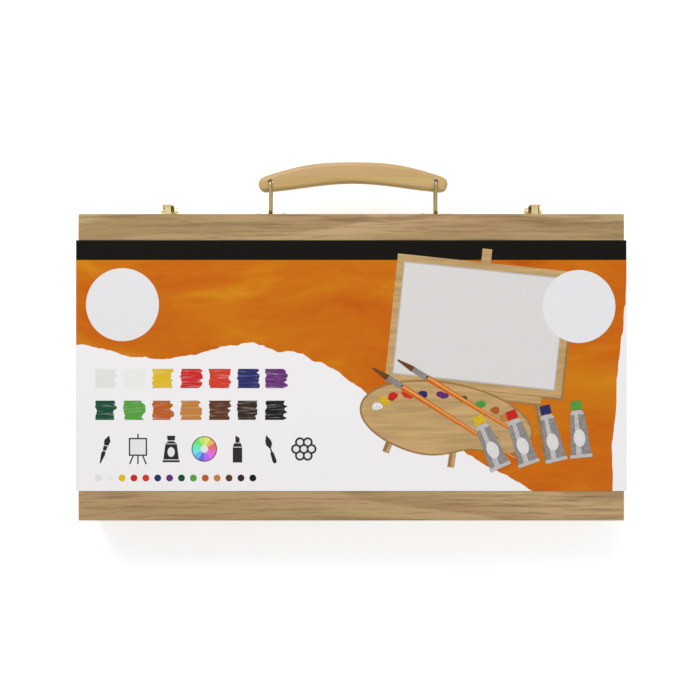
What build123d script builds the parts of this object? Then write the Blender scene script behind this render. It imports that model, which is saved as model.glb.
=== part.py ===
from build123d import *
import os
from math import cos, pi, radians, sin, sqrt, tan

# Wooden acrylic paint box, lying closed with its lid on top.
# Lengths are millimetres and angles are degrees. +X runs along the box, -Y points to
# the handle and latches, +Y to the hinges, and +Z up. The origin is under the middle.

# Case; its length, its width and the lid's depth follow from what it holds
wall_thick = 8.0
panel_thick = 3.0
base_depth = 33.0
arris_round = 0.8
parting_ease = 0.5

# Card sleeve round the closed case
card_thick = 0.5
card_slack = 0.1
card_side_slack = 1.3
card_corner = 1.2
sleeve_setback = 19.1
sleeve_width = 181.4
sleeve_seam = 0.3

# Hinges
hinge_setback = 67.5
hinge_length = 30.0
hinge_inset = 2.3
hinge_stop_angle = 105.0
knuckle_count = 5
knuckle_gap = 0.15
barrel_radius = 2.0
barrel_clear = 0.25
hinge_pin_radius = 0.8
hinge_pin_clear = 0.05
leaf_thick = 0.8
leaf_reach = 5.5
leaf_lift = 0.1
leaf_clear = 0.2
leaf_screw_spacing = 18.0
leaf_screw_inset = 1.65
leaf_screw_head_radius = 1.25
leaf_screw_shank_radius = 0.7
leaf_screw_length = 6.0

# Round-headed screws of the latches and the handle
hole_clear = 0.05
latch_screw_head_radius = 1.9
latch_screw_head_height = 0.8
latch_screw_shank_radius = 0.9
latch_screw_length = 6.5
saddle_screw_head_radius = 1.9
saddle_screw_head_height = 0.7
saddle_screw_shank_radius = 1.1
saddle_screw_length = 7.0
screw_head_round = 0.7
slot_width = 0.5
slot_depth = 0.45

# Latches, measured out from the front wall and up from the parting line
latch_setback = 62.0
plate_thick = 0.8
plate_wing_half = 13.0
plate_wing_top = -2.5
plate_wing_bottom = -10.0
plate_tail_half = 6.5
plate_tail_bottom = -20.0
plate_corner = 1.5
plate_screw_half = 9.9
cheek_thick = 0.8
cheek_radius = 2.0
lever_thick = 0.7
lever_half = 5.0
lever_side_clear = 0.2
lever_pivot_out = 5.0
lever_pivot_up = -8.5
lever_pivot_round = 2.9
rivet_radius = 0.8
rivet_head_radius = 1.4
rivet_head_height = 0.6
bail_pivot_out = 3.3
bail_pivot_up = -13.5
bail_pivot_round = 1.3
bail_pin_radius = 0.6
running_clear = 0.06
fixed_clear = 0.02
lever_web_top = -16.8
lever_bend = -20.0
lever_tip = -24.0
lever_flare = 1.5
lever_tip_round = 2.5
bail_thick = 0.8
bail_side_clear = 0.2
bail_eye_radius = 1.25
bail_crank_low = -4.8
bail_crank_high = -1.2
bail_hook_clear = 0.4
bail_top = 6.8
bail_window_half = 2.9
bail_window_low = 0.4
bail_window_high = 5.2
catch_thick = 0.9
catch_half = 9.4
catch_bottom = 1.5
catch_top = 9.5
catch_corner = 1.5
catch_screw_half = 6.9
hook_half = 2.4
hook_reach = 7.4
hook_shelf = 2.6
hook_lip_top = 5.0
hook_thick = 0.8

# Handle, measured along the box from its own middle and out from the front wall
handle_middle = -1.4
grip_depth = 12.0
grip_round = 3.4
grip_crown = 38.7
grip_shoulder_at = 27.8
grip_shoulder = 37.4
grip_slope_at = 60.4
grip_slope = 29.7
grip_tip_at = 69.0
grip_tip = 22.2
grip_heel_at = 63.3
grip_heel = 17.0
grip_palm_at = 27.8
grip_palm = 21.3
grip_middle = 23.3
grip_hole_at = 60.2
grip_hole_up = 23.9
grip_hole_radius = 1.9
wire_radius = 1.1
wire_corner = 2.5
wire_fit = 0.4
wire_foot_up = 1.6
saddle_thick = 0.8
saddle_width = 9.0
saddle_half = 13.0
saddle_wire_clear = 0.1
saddle_screw_half = 9.5
saddle_end_round = 4.0

# Vacuum-formed trays
tray_sheet = 0.8
tray_clear = 0.5
tray_drop = 2.0
tub_corner = 3.0
tray_corner = 6.0
content_drop = 1.0
tray_margin = 4.2
tube_tub_margin = 2.0
tube_finger_room = 8.0
tub_gap = 8.0
implement_tub_gap = 12.0
implement_end_gap = 7.0
palette_fit = 1.5
lid_end_margin = 8.5
board_border = 12.5
marker_head_room = 1.0
marker_fit = 1.2

# Paint tubes
tube_count = 14
tube_pitch = 24.5
tube_radius = 7.3
tube_length = 79.0
tube_cap_radius = 7.0
tube_cap_length = 13.0
tube_neck_radius = 4.0
tube_neck_length = 2.0
tube_shoulder_length = 3.0
tube_crimp_length = 5.0
tube_crimp_thick = 1.6
tube_waist_widening = 1.18
tube_waist_flattening = 0.8
cap_rib_count = 24
cap_rib_radius = 0.45
cap_rib_length = 10.4
cap_end_round = 0.9
tube_end_gap = 3.5
divider_width = 6.0
divider_height = 7.0
divider_length = 30.0
divider_corner = 2.0

# Brushes
brush_pitch = 15.0
brush_length = 200.0
tuft_length = 17.0
tuft_slice = 0.8
strand_side = 0.34
strand_pitch = 0.36
ferrule_length = 26.0
ferrule_radius = 3.3
ferrule_waist = 2.7
handle_mouth = 2.8
handle_belly = 3.9
handle_belly_at = 0.22
handle_taper_at = 0.6
handle_end = 1.4
implement_floor_room = 1.0
tuft_edge_cut = 0.45

# Painting knives
knife_pitch = 14.0
knife_length = 186.0
knife_blade_length = 62.0
knife_blade_half = 5.6
narrow_blade_half = 4.5
knife_widest_at = 0.6
knife_neck_length = 24.8
knife_neck_half = 1.6
knife_handle_half = 4.5
knife_thick = 1.6
knife_handle_thick = 3.6

# Mixing palette
palette_petals = 6
palette_height = 6.0
palette_ring_radius = 26.0
palette_petal_radius = 14.8
palette_core_radius = 15.0
palette_well_radius = 11.0
palette_well_depth = 3.5

# Markers
marker_names = ("silver", "white", "gold", "black")
marker_pitch = 25.0
marker_length = 178.0
marker_cap_length = 60.0
marker_cap_radius = 9.2
marker_body_radius = 7.2
marker_tail_radius = 6.2
marker_tail_length = 9.0
marker_board_gap = 5.0
marker_end_gap = 3.5
marker_round = 0.8

# Canvas boards and colour guide
board_length = 254.0
board_width = 178.0
board_thick = 3.0
board_count = 2
board_fit = 1.0
board_drop = 1.2
guide_radius = 55.0
guide_thick = 0.6

# The rows of contents; the longest row along each way sizes the case
implement_tub_length = brush_length + 2 * implement_end_gap
implement_tub_width = 2 * brush_pitch
palette_recess_radius = palette_ring_radius + palette_petal_radius + palette_fit
tube_row = tube_count * tube_pitch + tube_end_gap
marker_row = len(marker_names) * marker_pitch
board_tub_length = board_length + 2 * board_fit
back_row = implement_tub_length + tub_gap + 2 * palette_recess_radius
lid_row = marker_row + marker_board_gap + board_tub_length
tray_length = max(lid_row + 2 * lid_end_margin, tube_row + 2 * tray_margin, back_row + 2 * tray_margin)
tube_tub_length = tube_end_gap + tube_length + tube_finger_room
implement_column = 2 * implement_tub_gap + 2 * implement_tub_width
palette_column = tub_gap + 2 * palette_recess_radius
base_column = tube_tub_margin + tube_tub_length + max(implement_column, palette_column) + tray_margin
marker_column = marker_length + 2 * marker_end_gap + 2 * tray_margin
board_column = board_width + 2 * board_fit + 2 * board_border
tray_width = max(base_column, marker_column, board_column)
case_length = tray_length + 2 * tray_clear + 2 * wall_thick
case_width = tray_width + 2 * tray_clear + 2 * wall_thick
lid_depth = panel_thick + tray_sheet + 2 * marker_cap_radius + marker_head_room

# Levels and faces that follow
base_bottom = card_thick + card_slack
base_floor = base_bottom + panel_thick
parting = base_bottom + base_depth
lid_top = parting + lid_depth
lid_ceiling = lid_top - panel_thick
front = -case_width / 2
back = case_width / 2
side = case_length / 2
inner_front = front + wall_thick
inner_back = back - wall_thick
inner_side = side - wall_thick
hinge_y = back - hinge_inset
handle_z = parting + lid_depth / 2
hinge_places = {"left": hinge_setback - side, "right": side - hinge_setback}
latch_places = {"left": latch_setback - side, "right": side - latch_setback}
handle_places = {"left": handle_middle - grip_hole_at, "right": handle_middle + grip_hole_at}
past = 1.0

nodes = {}


def keep(name, *shapes):
    """Name one node, made of one or more separate solids."""
    solids = [solid for shape in shapes for solid in shape.solids()]
    nodes[name] = solids[0] if len(solids) == 1 else Compound(solids)


def block(x, y, z):
    """A box between a low and a high value on each axis."""
    spans = (x, y, z)
    size = [high - low for low, high in spans]
    centre = [(high + low) / 2 for low, high in spans]
    return Pos(*centre) * Box(*size)


def rod(start, direction, radius, length):
    """A round bar from a start point along a direction."""
    return extrude(Plane(origin=start, z_dir=direction) * Circle(radius), amount=length)


def joined(shapes):
    """All shapes fused into one."""
    total = shapes[0]
    for shape in shapes[1:]:
        total = total + shape
    return total


def flipped(shape):
    """The mirror image of a shape, from the base to the lid or back."""
    return mirror(shape, about=Plane.XY.offset(parting))


def front_plane(x, out=0.0, up=0.0):
    """Sketch plane on the front wall: sketch X along the box, sketch Y up, facing out."""
    return Plane(origin=(x, front - out, parting + up), x_dir=(1, 0, 0), z_dir=(0, -1, 0))


def section_plane(x):
    """Sketch plane across the front wall: sketch X out from the wall, sketch Y up."""
    return Plane(origin=(x, front, parting), x_dir=(0, -1, 0), z_dir=(-1, 0, 0))


def handle_plane(z):
    """Sketch plane of the handle's outline: sketch X along the box, sketch Y out."""
    return Plane(origin=(handle_middle, front, z), x_dir=(1, 0, 0), z_dir=(0, 0, -1))


def front_point(x, out, up):
    """A point given along the box, out from the front wall and up from the parting line."""
    return (x, front - out, parting + up)


def sheet_across(x, corners, half):
    """A bent sheet: its section's corners, carried the same way to both sides of x."""
    return extrude(section_plane(x) * Polygon(*corners, align=None), amount=half, both=True)


def round_screw(seat, head_radius, head_height, shank_radius, length):
    """Slotted round-head wood screw on the front wall, driven in along +Y."""
    head = rod(seat, (0, -1, 0), head_radius, head_height)
    head = fillet(head.edges().sort_by(Axis.Y)[0], head_height * screw_head_round)
    x, y, z = seat
    slot = block(
        (x - head_radius, x + head_radius),
        (y - head_height - past, y - head_height + slot_depth),
        (z - slot_width / 2, z + slot_width / 2),
    )
    return head - slot + rod(seat, (0, 1, 0), shank_radius, length)


def screw_hole(seat, shank_radius, length):
    """Clear hole for a front screw, through its plate and into the wood."""
    x, y, z = seat
    return rod((x, y - past, z), (0, 1, 0), shank_radius + hole_clear, length + past + hole_clear)


# Screws on the front wall
plate_screw_up = (plate_wing_top + plate_wing_bottom) / 2
catch_screw_up = (catch_bottom + catch_top) / 2
plate_seats = [
    front_point(x + way * plate_screw_half, plate_thick, plate_screw_up)
    for x in latch_places.values()
    for way in (-1, 1)
]
catch_seats = [
    front_point(x + way * catch_screw_half, catch_thick, catch_screw_up)
    for x in latch_places.values()
    for way in (-1, 1)
]
saddle_seats = [
    front_point(x + way * saddle_screw_half, saddle_thick, handle_z - parting)
    for x in handle_places.values()
    for way in (-1, 1)
]


def holes(seats, shank_radius, length):
    """All the holes of one set of front screws."""
    return joined([screw_hole(seat, shank_radius, length) for seat in seats])


plate_holes = holes(plate_seats, latch_screw_shank_radius, latch_screw_length)
catch_holes = holes(catch_seats, latch_screw_shank_radius, latch_screw_length)
saddle_holes = holes(saddle_seats, saddle_screw_shank_radius, saddle_screw_length)


# Hinges, made for the base; the lid's leaf is worked from the same values
knuckle_pitch = hinge_length / knuckle_count
leaf_face = parting - leaf_lift
leaf_screw_y = hinge_y - leaf_reach + leaf_screw_inset


def knuckle_spans(x, first):
    """The spans along X of every second knuckle, starting with the first or the second."""
    start = x - hinge_length / 2 + knuckle_gap / 2
    length = knuckle_pitch - knuckle_gap
    lows = [start + index * knuckle_pitch for index in range(first, knuckle_count, 2)]
    return [(low, low + length) for low in lows]


def leaf_screw(x, y):
    """Countersunk screw, its head just under the face of the base leaf."""
    top = leaf_face - fixed_clear
    cone = Pos(x, y, top - leaf_thick / 2) * Cone(leaf_screw_shank_radius, leaf_screw_head_radius, leaf_thick)
    slot = block(
        (x - leaf_screw_head_radius, x + leaf_screw_head_radius),
        (y - slot_width / 2, y + slot_width / 2),
        (top - slot_depth, top + past),
    )
    return cone + rod((x, y, top), (0, 0, -1), leaf_screw_shank_radius, leaf_screw_length) - slot


def leaf_screw_places(x):
    """The two screws of one leaf."""
    return [(x + way * leaf_screw_spacing / 2, leaf_screw_y) for way in (-1, 1)]


def leaf(x, first):
    """One leaf with its knuckles, lying in the base's rim below the parting line."""
    flat_end = hinge_y - barrel_radius - barrel_clear
    plate = block(
        (x - hinge_length / 2, x + hinge_length / 2),
        (hinge_y - leaf_reach, flat_end),
        (leaf_face - leaf_thick, leaf_face),
    )
    for low, high in knuckle_spans(x, first):
        tab_end = hinge_y - (barrel_radius + hinge_pin_radius) / 2
        plate += block((low, high), (flat_end - past, tab_end), (leaf_face - leaf_thick, leaf_face))
        plate += rod((low, hinge_y, parting), (1, 0, 0), barrel_radius, high - low)
    bore_start = (x - hinge_length / 2 - past, hinge_y, parting)
    plate -= rod(bore_start, (1, 0, 0), hinge_pin_radius + hinge_pin_clear, hinge_length + 2 * past)
    for screw_x, screw_y in leaf_screw_places(x):
        plate -= Pos(screw_x, screw_y, leaf_face - leaf_thick / 2) * Cone(
            leaf_screw_shank_radius + hole_clear,
            leaf_screw_head_radius + hole_clear,
            leaf_thick,
        )
    return plate


def hinge_recess(x):
    """What one hinge takes out of the base's back wall: barrel notch, leaf pocket, screw holes."""
    notch_length = hinge_length + 2 * leaf_clear
    notch_start = (x - notch_length / 2, hinge_y, parting)
    pocket = block(
        (x - notch_length / 2, x + notch_length / 2),
        (inner_back - past, hinge_y),
        (leaf_face - leaf_thick, parting + past),
    )
    cut = pocket + rod(notch_start, (1, 0, 0), barrel_radius + barrel_clear, notch_length)
    for screw_x, screw_y in leaf_screw_places(x):
        cut += rod(
            (screw_x, screw_y, parting),
            (0, 0, -1),
            leaf_screw_shank_radius + hole_clear,
            leaf_screw_length + leaf_lift + hole_clear,
        )
    return cut


def stop_bevel():
    """The bevel along the base's back edge on which the open lid stops."""
    reach = hinge_inset + past
    drop = reach * tan(radians(hinge_stop_angle / 2))
    corners = [
        (hinge_y, parting),
        (hinge_y + reach, parting),
        (hinge_y + reach, parting - drop),
    ]
    return extrude(Plane.YZ * Polygon(*corners, align=None), amount=side + past, both=True)


def hinge_pin(x):
    """The pin through one hinge's knuckles."""
    return rod((x - hinge_length / 2, hinge_y, parting), (1, 0, 0), hinge_pin_radius, hinge_length)


back_cuts = joined([stop_bevel()] + [hinge_recess(x) for x in hinge_places.values()])


# Case walls and panels
lowest = 0
highest = -1


def walls(z_span, rim):
    """Two walls of the full length and two short ones between them, eased along the parting line."""
    form = block((-side, side), (front, back), z_span)
    form = fillet(form.edges().filter_by(Axis.Z), arris_round)
    form = chamfer(form.faces().sort_by(Axis.Z)[rim].edges(), parting_ease)
    return {
        "front": form & block((-side, side), (front, inner_front), z_span),
        "back": form & block((-side, side), (inner_back, back), z_span),
        "left": form & block((-side, -inner_side), (inner_front, inner_back), z_span),
        "right": form & block((inner_side, side), (inner_front, inner_back), z_span),
    }


def panel(low, outer):
    """A full-face panel with rounded corners and a softened outer edge."""
    plate = block((-side, side), (front, back), (low, low + panel_thick))
    plate = fillet(plate.edges().filter_by(Axis.Z), arris_round)
    return fillet(plate.faces().sort_by(Axis.Z)[outer].edges(), arris_round / 2)


base_walls = walls((base_floor, parting), highest)
lid_walls = walls((parting, lid_ceiling), lowest)
keep("base_front_wall", base_walls["front"] - plate_holes)
keep("base_back_wall", base_walls["back"] - back_cuts)
keep("base_left_wall", base_walls["left"])
keep("base_right_wall", base_walls["right"])
keep("base_panel", panel(base_bottom, lowest))
keep("lid_front_wall", lid_walls["front"] - catch_holes - saddle_holes)
keep("lid_back_wall", lid_walls["back"] - flipped(back_cuts))
keep("lid_left_wall", lid_walls["left"])
keep("lid_right_wall", lid_walls["right"])
keep("lid_panel", panel(lid_ceiling, highest))

# Hinge nodes
for name, x in hinge_places.items():
    keep(f"hinge_{name}_base_leaf", leaf(x, 0))
    keep(f"hinge_{name}_lid_leaf", flipped(leaf(x, 1)))
    keep(f"hinge_{name}_pin", hinge_pin(x))
hinge_screws = [leaf_screw(*place) for x in hinge_places.values() for place in leaf_screw_places(x)]
keep("hinge_base_screws", *hinge_screws)
keep("hinge_lid_screws", *[flipped(screw) for screw in hinge_screws])

# Latches
cheek_inner = lever_half + lever_side_clear
cheek_outer = cheek_inner + cheek_thick
flange_inner = lever_half - lever_thick
bail_half = flange_inner - bail_side_clear
lever_face = lever_pivot_out + lever_pivot_round


def spread(x, inner, outer, profile):
    """The same flat piece on the left and the right of x."""
    piece = extrude(section_plane(x) * profile, amount=outer - inner)
    return Pos(-inner, 0, 0) * piece + Pos(outer, 0, 0) * piece


def pivot_rod(x, out, up, radius, half):
    """A rod along X through a latch pivot."""
    return rod(front_point(x - half, out, up), (1, 0, 0), radius, 2 * half)


def latch_plate(x):
    """Winged plate with two cheeks for the lever."""
    wings = Pos(0, (plate_wing_top + plate_wing_bottom) / 2) * RectangleRounded(
        2 * plate_wing_half, plate_wing_top - plate_wing_bottom, plate_corner
    )
    tail = Pos(0, (plate_wing_top + plate_tail_bottom) / 2) * RectangleRounded(
        2 * plate_tail_half, plate_wing_top - plate_tail_bottom, plate_corner
    )
    plate = extrude(front_plane(x) * (wings + tail), amount=plate_thick)
    round_end = Pos(lever_pivot_out, lever_pivot_up) * Circle(cheek_radius)
    root = Pos((plate_thick + lever_pivot_out) / 2 - fixed_clear, lever_pivot_up) * Rectangle(
        lever_pivot_out - plate_thick + 2 * fixed_clear, 2 * cheek_radius
    )
    bore = Pos(lever_pivot_out, lever_pivot_up) * Circle(rivet_radius + fixed_clear)
    return plate + spread(x, cheek_inner, cheek_outer, round_end + root - bore)


def latch_rivets(x):
    """Two stub rivets that carry the lever in the cheeks."""
    shank = Pos(lever_pivot_out, lever_pivot_up) * Circle(rivet_radius)
    head = Pos(lever_pivot_out, lever_pivot_up) * Circle(rivet_head_radius)
    shanks = spread(x, flange_inner, cheek_outer, shank)
    heads = spread(x, cheek_outer, cheek_outer + rivet_head_height, head)
    return shanks + heads


def latch_lever(x):
    """Lever: two side flanges, a web between them below the bail pin, and a flared tip."""
    ends = [
        (lever_pivot_out, lever_pivot_up, lever_pivot_round),
        (bail_pivot_out, bail_pivot_up, bail_pivot_round),
        (lever_face - lever_thick / 2, lever_bend, lever_thick / 2),
    ]
    circles = [Pos(out, up) * Circle(radius) for out, up, radius in ends]
    outline = make_hull([edge for circle in circles for edge in circle.edges()])
    pivot_bore = Pos(lever_pivot_out, lever_pivot_up) * Circle(rivet_radius + running_clear)
    pin_bore = Pos(bail_pivot_out, bail_pivot_up) * Circle(bail_pin_radius + fixed_clear)
    flanges = spread(x, flange_inner, lever_half, outline - pivot_bore - pin_bore)
    inside = lever_face - lever_thick
    web_corners = [
        (inside, lever_web_top),
        (lever_face, lever_web_top),
        (lever_face, lever_bend),
        (lever_face + lever_flare, lever_tip),
        (lever_face + lever_flare - lever_thick, lever_tip),
        (inside, lever_bend),
    ]
    web = sheet_across(x, web_corners, lever_half)
    web_height = lever_web_top - lever_tip
    plan = Pos(0, lever_tip + web_height) * RectangleRounded(2 * lever_half, 2 * web_height, lever_tip_round)
    rounded_web = web & extrude(front_plane(x) * plan, amount=lever_face + lever_flare + past)
    return flanges + rounded_web


def latch_bail(x):
    """Bail: an eye on its pin, a cranked sheet, and a window that goes over the hook."""
    near = bail_pivot_out - bail_thick / 2
    far = near + bail_thick
    top_near = hook_reach + bail_hook_clear
    top_far = top_near + bail_thick
    corners = [
        (near, bail_pivot_up),
        (far, bail_pivot_up),
        (far, bail_crank_low - bail_thick / 2),
        (top_far, bail_crank_high - bail_thick / 2),
        (top_far, bail_top),
        (top_near, bail_top),
        (top_near, bail_crank_high),
        (near, bail_crank_low),
    ]
    bail = sheet_across(x, corners, bail_half)
    bail += pivot_rod(x, bail_pivot_out, bail_pivot_up, bail_eye_radius, bail_half)
    bail -= pivot_rod(x, bail_pivot_out, bail_pivot_up, bail_pin_radius + running_clear, bail_half + past)
    window_middle = (bail_window_low + bail_window_high) / 2
    window = RectangleRounded(2 * bail_window_half, bail_window_high - bail_window_low, hook_thick)
    return bail - extrude(front_plane(x, 0, window_middle) * window, amount=top_far + past)


def latch_catch(x):
    """Catch plate on the lid, with a hook curled up in front of it."""
    middle = (catch_bottom + catch_top) / 2
    plate = extrude(
        front_plane(x, 0, middle) * RectangleRounded(2 * catch_half, catch_top - catch_bottom, catch_corner),
        amount=catch_thick,
    )
    corners = [
        (catch_thick - fixed_clear, hook_shelf),
        (hook_reach, hook_shelf),
        (hook_reach, hook_lip_top),
        (hook_reach - hook_thick, hook_lip_top),
        (hook_reach - hook_thick, hook_shelf + hook_thick),
        (catch_thick - fixed_clear, hook_shelf + hook_thick),
    ]
    return plate + sheet_across(x, corners, hook_half)


for name, x in latch_places.items():
    keep(f"latch_{name}_plate", latch_plate(x) - plate_holes)
    keep(f"latch_{name}_rivets", latch_rivets(x))
    keep(f"latch_{name}_lever", latch_lever(x))
    keep(f"latch_{name}_bail", latch_bail(x))
    keep(f"latch_{name}_bail_pin", pivot_rod(x, bail_pivot_out, bail_pivot_up, bail_pin_radius, lever_half))
    keep(f"latch_{name}_catch", latch_catch(x) - catch_holes)


def front_screws(seats, head_radius, head_height, shank_radius, length):
    """One set of front screws."""
    return [round_screw(seat, head_radius, head_height, shank_radius, length) for seat in seats]


latch_screw = (latch_screw_head_radius, latch_screw_head_height, latch_screw_shank_radius, latch_screw_length)
saddle_screw = (
    saddle_screw_head_radius,
    saddle_screw_head_height,
    saddle_screw_shank_radius,
    saddle_screw_length,
)
keep("latch_plate_screws", *front_screws(plate_seats, *latch_screw))
keep("latch_catch_screws", *front_screws(catch_seats, *latch_screw))


# Handle
def grip_outline():
    """The grip's face: a crowned back, rounded tips and a hollow palm side."""
    crown = [(0, grip_crown), (grip_shoulder_at, grip_shoulder), (grip_slope_at, grip_slope)]
    tip = (grip_tip_at, grip_tip)
    heel = (grip_heel_at, grip_heel)
    palm = [heel, (grip_palm_at, grip_palm), (0, grip_middle)]
    down = (-0.1, -1)
    inward = (-1, 0.08)
    right = [
        Spline(*crown, tip, tangents=[(1, 0), down]),
        Spline(tip, heel, tangents=[down, inward]),
        Spline(*palm, tangents=[inward, (-1, 0)]),
    ]
    left = [mirror(edge, about=Plane.YZ) for edge in right]
    return make_face(right + left)


def handle_grip():
    """Wooden grip with a cross hole near each tip."""
    grip = extrude(handle_plane(handle_z) * grip_outline(), amount=grip_depth / 2, both=True)
    faces = grip.faces().sort_by(Axis.Z)
    grip = fillet(faces[lowest].edges() + faces[highest].edges(), grip_round)
    for x in handle_places.values():
        start = (x, front - grip_hole_up, handle_z - grip_depth)
        grip -= rod(start, (0, 0, 1), grip_hole_radius, 2 * grip_depth)
    return grip


wire_depth = grip_depth + 2 * wire_fit + 2 * wire_radius


def handle_wire(x):
    """Closed wire ring through the grip and under its saddle."""
    height = grip_hole_up - wire_foot_up
    middle = front - (grip_hole_up + wire_foot_up) / 2
    frame = Plane(origin=(x, middle, handle_z), x_dir=(0, 1, 0), z_dir=(1, 0, 0))
    path = (frame * RectangleRounded(height, wire_depth, wire_corner)).wire()
    start = Plane(origin=path @ 0, z_dir=path % 0)
    return sweep(start * Circle(wire_radius), path=path)


def handle_saddle(x):
    """Strap with a hump over the ring's lower bar."""
    inner = wire_radius + saddle_wire_clear
    outer = inner + saddle_thick
    centre = Pos(0, wire_foot_up)
    stem = Pos(0, wire_foot_up / 2)
    foot = Pos(0, saddle_thick / 2) * Rectangle(2 * saddle_half, saddle_thick)
    hump = centre * Circle(outer) + stem * Rectangle(2 * outer, wire_foot_up)
    hump &= Pos(0, outer) * Rectangle(2 * outer, 2 * outer)
    channel = centre * Circle(inner) + stem * Rectangle(2 * inner, wire_foot_up)
    strap = extrude(
        handle_plane(handle_z) * Pos(x - handle_middle, 0) * (foot + hump - channel),
        amount=saddle_width / 2,
        both=True,
    )
    uprights = strap.edges().filter_by(Axis.Y).group_by(Axis.X)
    return fillet(uprights[lowest] + uprights[highest], saddle_end_round)


keep("handle_grip", handle_grip())
for name, x in handle_places.items():
    keep(f"handle_wire_{name}", handle_wire(x))
    keep(f"handle_saddle_{name}", handle_saddle(x) - saddle_holes)
keep("handle_screws", *front_screws(saddle_seats, *saddle_screw))


# Card sleeve: one band, parted level with the case's parting line
def sleeve_band():
    """The whole band, as four sides with small folded corners."""
    outer_side = side + card_side_slack + card_thick
    outer_top = lid_top + card_slack + card_thick
    middle = outer_top / 2
    outer = RectangleRounded(2 * outer_side, outer_top, card_corner)
    inner = RectangleRounded(
        2 * (outer_side - card_thick),
        outer_top - 2 * card_thick,
        card_corner - card_thick,
    )
    sleeve_start = front + sleeve_setback
    frame = Plane(origin=(0, sleeve_start, middle), x_dir=(1, 0, 0), z_dir=(0, -1, 0))
    return extrude(frame * (outer - inner), amount=-sleeve_width)


band = sleeve_band()
far = case_length
upper_half = block((-far, far), (-far, far), (parting + sleeve_seam / 2, far))
lower_half = block((-far, far), (-far, far), (-far, parting - sleeve_seam / 2))
keep("sleeve_lid_half", band & upper_half)
keep("sleeve_base_half", band & lower_half)

# Contents: levels and places
tray_side = tray_length / 2
tray_front = inner_front + tray_clear
tray_back = inner_back - tray_clear
base_deck = parting - tray_drop
lid_deck = parting + tray_drop
content_top = parting - content_drop
tube_floor = content_top - 2 * tube_radius
tube_front = tray_front + tube_tub_margin + tube_end_gap
tube_tub_back = tube_front + tube_length + tube_finger_room
knife_tub_front = tube_tub_back + implement_tub_gap
brush_tub_front = knife_tub_front + implement_tub_width + implement_tub_gap
implement_floor = content_top - 2 * handle_belly - implement_floor_room
palette_floor = content_top - palette_height
palette_x = tray_side - tray_margin - palette_recess_radius
palette_y = tray_back - tray_margin - palette_recess_radius
implement_tub_high = palette_x - palette_recess_radius - tub_gap
implement_tub_low = implement_tub_high - implement_tub_length
marker_floor = lid_ceiling - tray_sheet
marker_z = marker_floor - marker_cap_radius
marker_row_low = -lid_row / 2
board_middle = lid_row / 2 - board_tub_length / 2
board_face = lid_deck + board_drop
board_back = board_face + board_count * board_thick


def tub(x_span, y_span, z_span, corner=tub_corner):
    """A recess with rounded upright corners."""
    width = x_span[1] - x_span[0]
    depth = y_span[1] - y_span[0]
    centre = ((x_span[0] + x_span[1]) / 2, (y_span[0] + y_span[1]) / 2, z_span[0])
    return Pos(*centre) * extrude(RectangleRounded(width, depth, corner), amount=z_span[1] - z_span[0])


def grown(span, by=tray_sheet):
    """A span widened by the sheet on both sides."""
    return (span[0] - by, span[1] + by)


def tray_shell(deck, foot, way):
    """A deck with a skirt down to its panel; way is 1 where the deck is on top."""
    low, high = sorted((deck, foot))
    full = tub((-tray_side, tray_side), (tray_front, tray_back), (low, high), tray_corner)
    hollow_low = low - past if way > 0 else low + tray_sheet
    hollow_high = high - tray_sheet if way > 0 else high + past
    hollow = tub(
        (tray_sheet - tray_side, tray_side - tray_sheet),
        (tray_front + tray_sheet, tray_back - tray_sheet),
        (hollow_low, hollow_high),
        tray_corner - tray_sheet,
    )
    return full - hollow


def base_tray():
    """White tray of the base: a deck, a skirt down to the panel, and hanging recesses."""
    tray = tray_shell(base_deck, base_floor, 1)
    implement_span = (implement_tub_low, implement_tub_high)
    tube_span = (-tube_row / 2, tube_row / 2)
    recesses = [
        (tube_span, (tube_front - tube_end_gap, tube_tub_back), tube_floor),
        (implement_span, (knife_tub_front, knife_tub_front + implement_tub_width), implement_floor),
        (implement_span, (brush_tub_front, brush_tub_front + implement_tub_width), implement_floor),
    ]
    for x_span, y_span, floor in recesses:
        tray += tub(grown(x_span), grown(y_span), (floor - tray_sheet, base_deck))
    palette_seat = (palette_x, palette_y, palette_floor - tray_sheet)
    tray += rod(palette_seat, (0, 0, 1), palette_recess_radius + tray_sheet, base_deck - palette_seat[2])
    for x_span, y_span, floor in recesses:
        tray -= tub(x_span, y_span, (floor, base_deck + past))
    palette_seat = (palette_x, palette_y, palette_floor)
    tray -= rod(palette_seat, (0, 0, 1), palette_recess_radius, base_deck + past - palette_floor)
    for index in range(1, tube_count):
        x_span, y_span = divider_spans(index)
        rib = (tube_floor - tray_sheet / 2, tube_floor + divider_height)
        tray += tub(x_span, y_span, rib, divider_corner)
    for index in range(1, tube_count):
        x_span, y_span = divider_spans(index)
        hollow = (tube_floor - tray_sheet - past, tube_floor + divider_height - tray_sheet)
        x_inside = grown(x_span, -tray_sheet)
        y_inside = grown(y_span, -tray_sheet)
        tray -= tub(x_inside, y_inside, hollow, divider_corner - tray_sheet)
    return tray


def divider_spans(index):
    """The spans of the tray's hollow rib between two tubes."""
    x = (index - tube_count / 2) * tube_pitch
    rib_back = tube_tub_back - tube_finger_room - tube_cap_length
    return (x - divider_width / 2, x + divider_width / 2), (rib_back - divider_length, rib_back)


def marker_x(index):
    """Middle of one marker along the box."""
    return marker_row_low + marker_pitch * (index + 0.5)


marker_front = -marker_length / 2
marker_cap_end = marker_front + marker_cap_length


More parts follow.
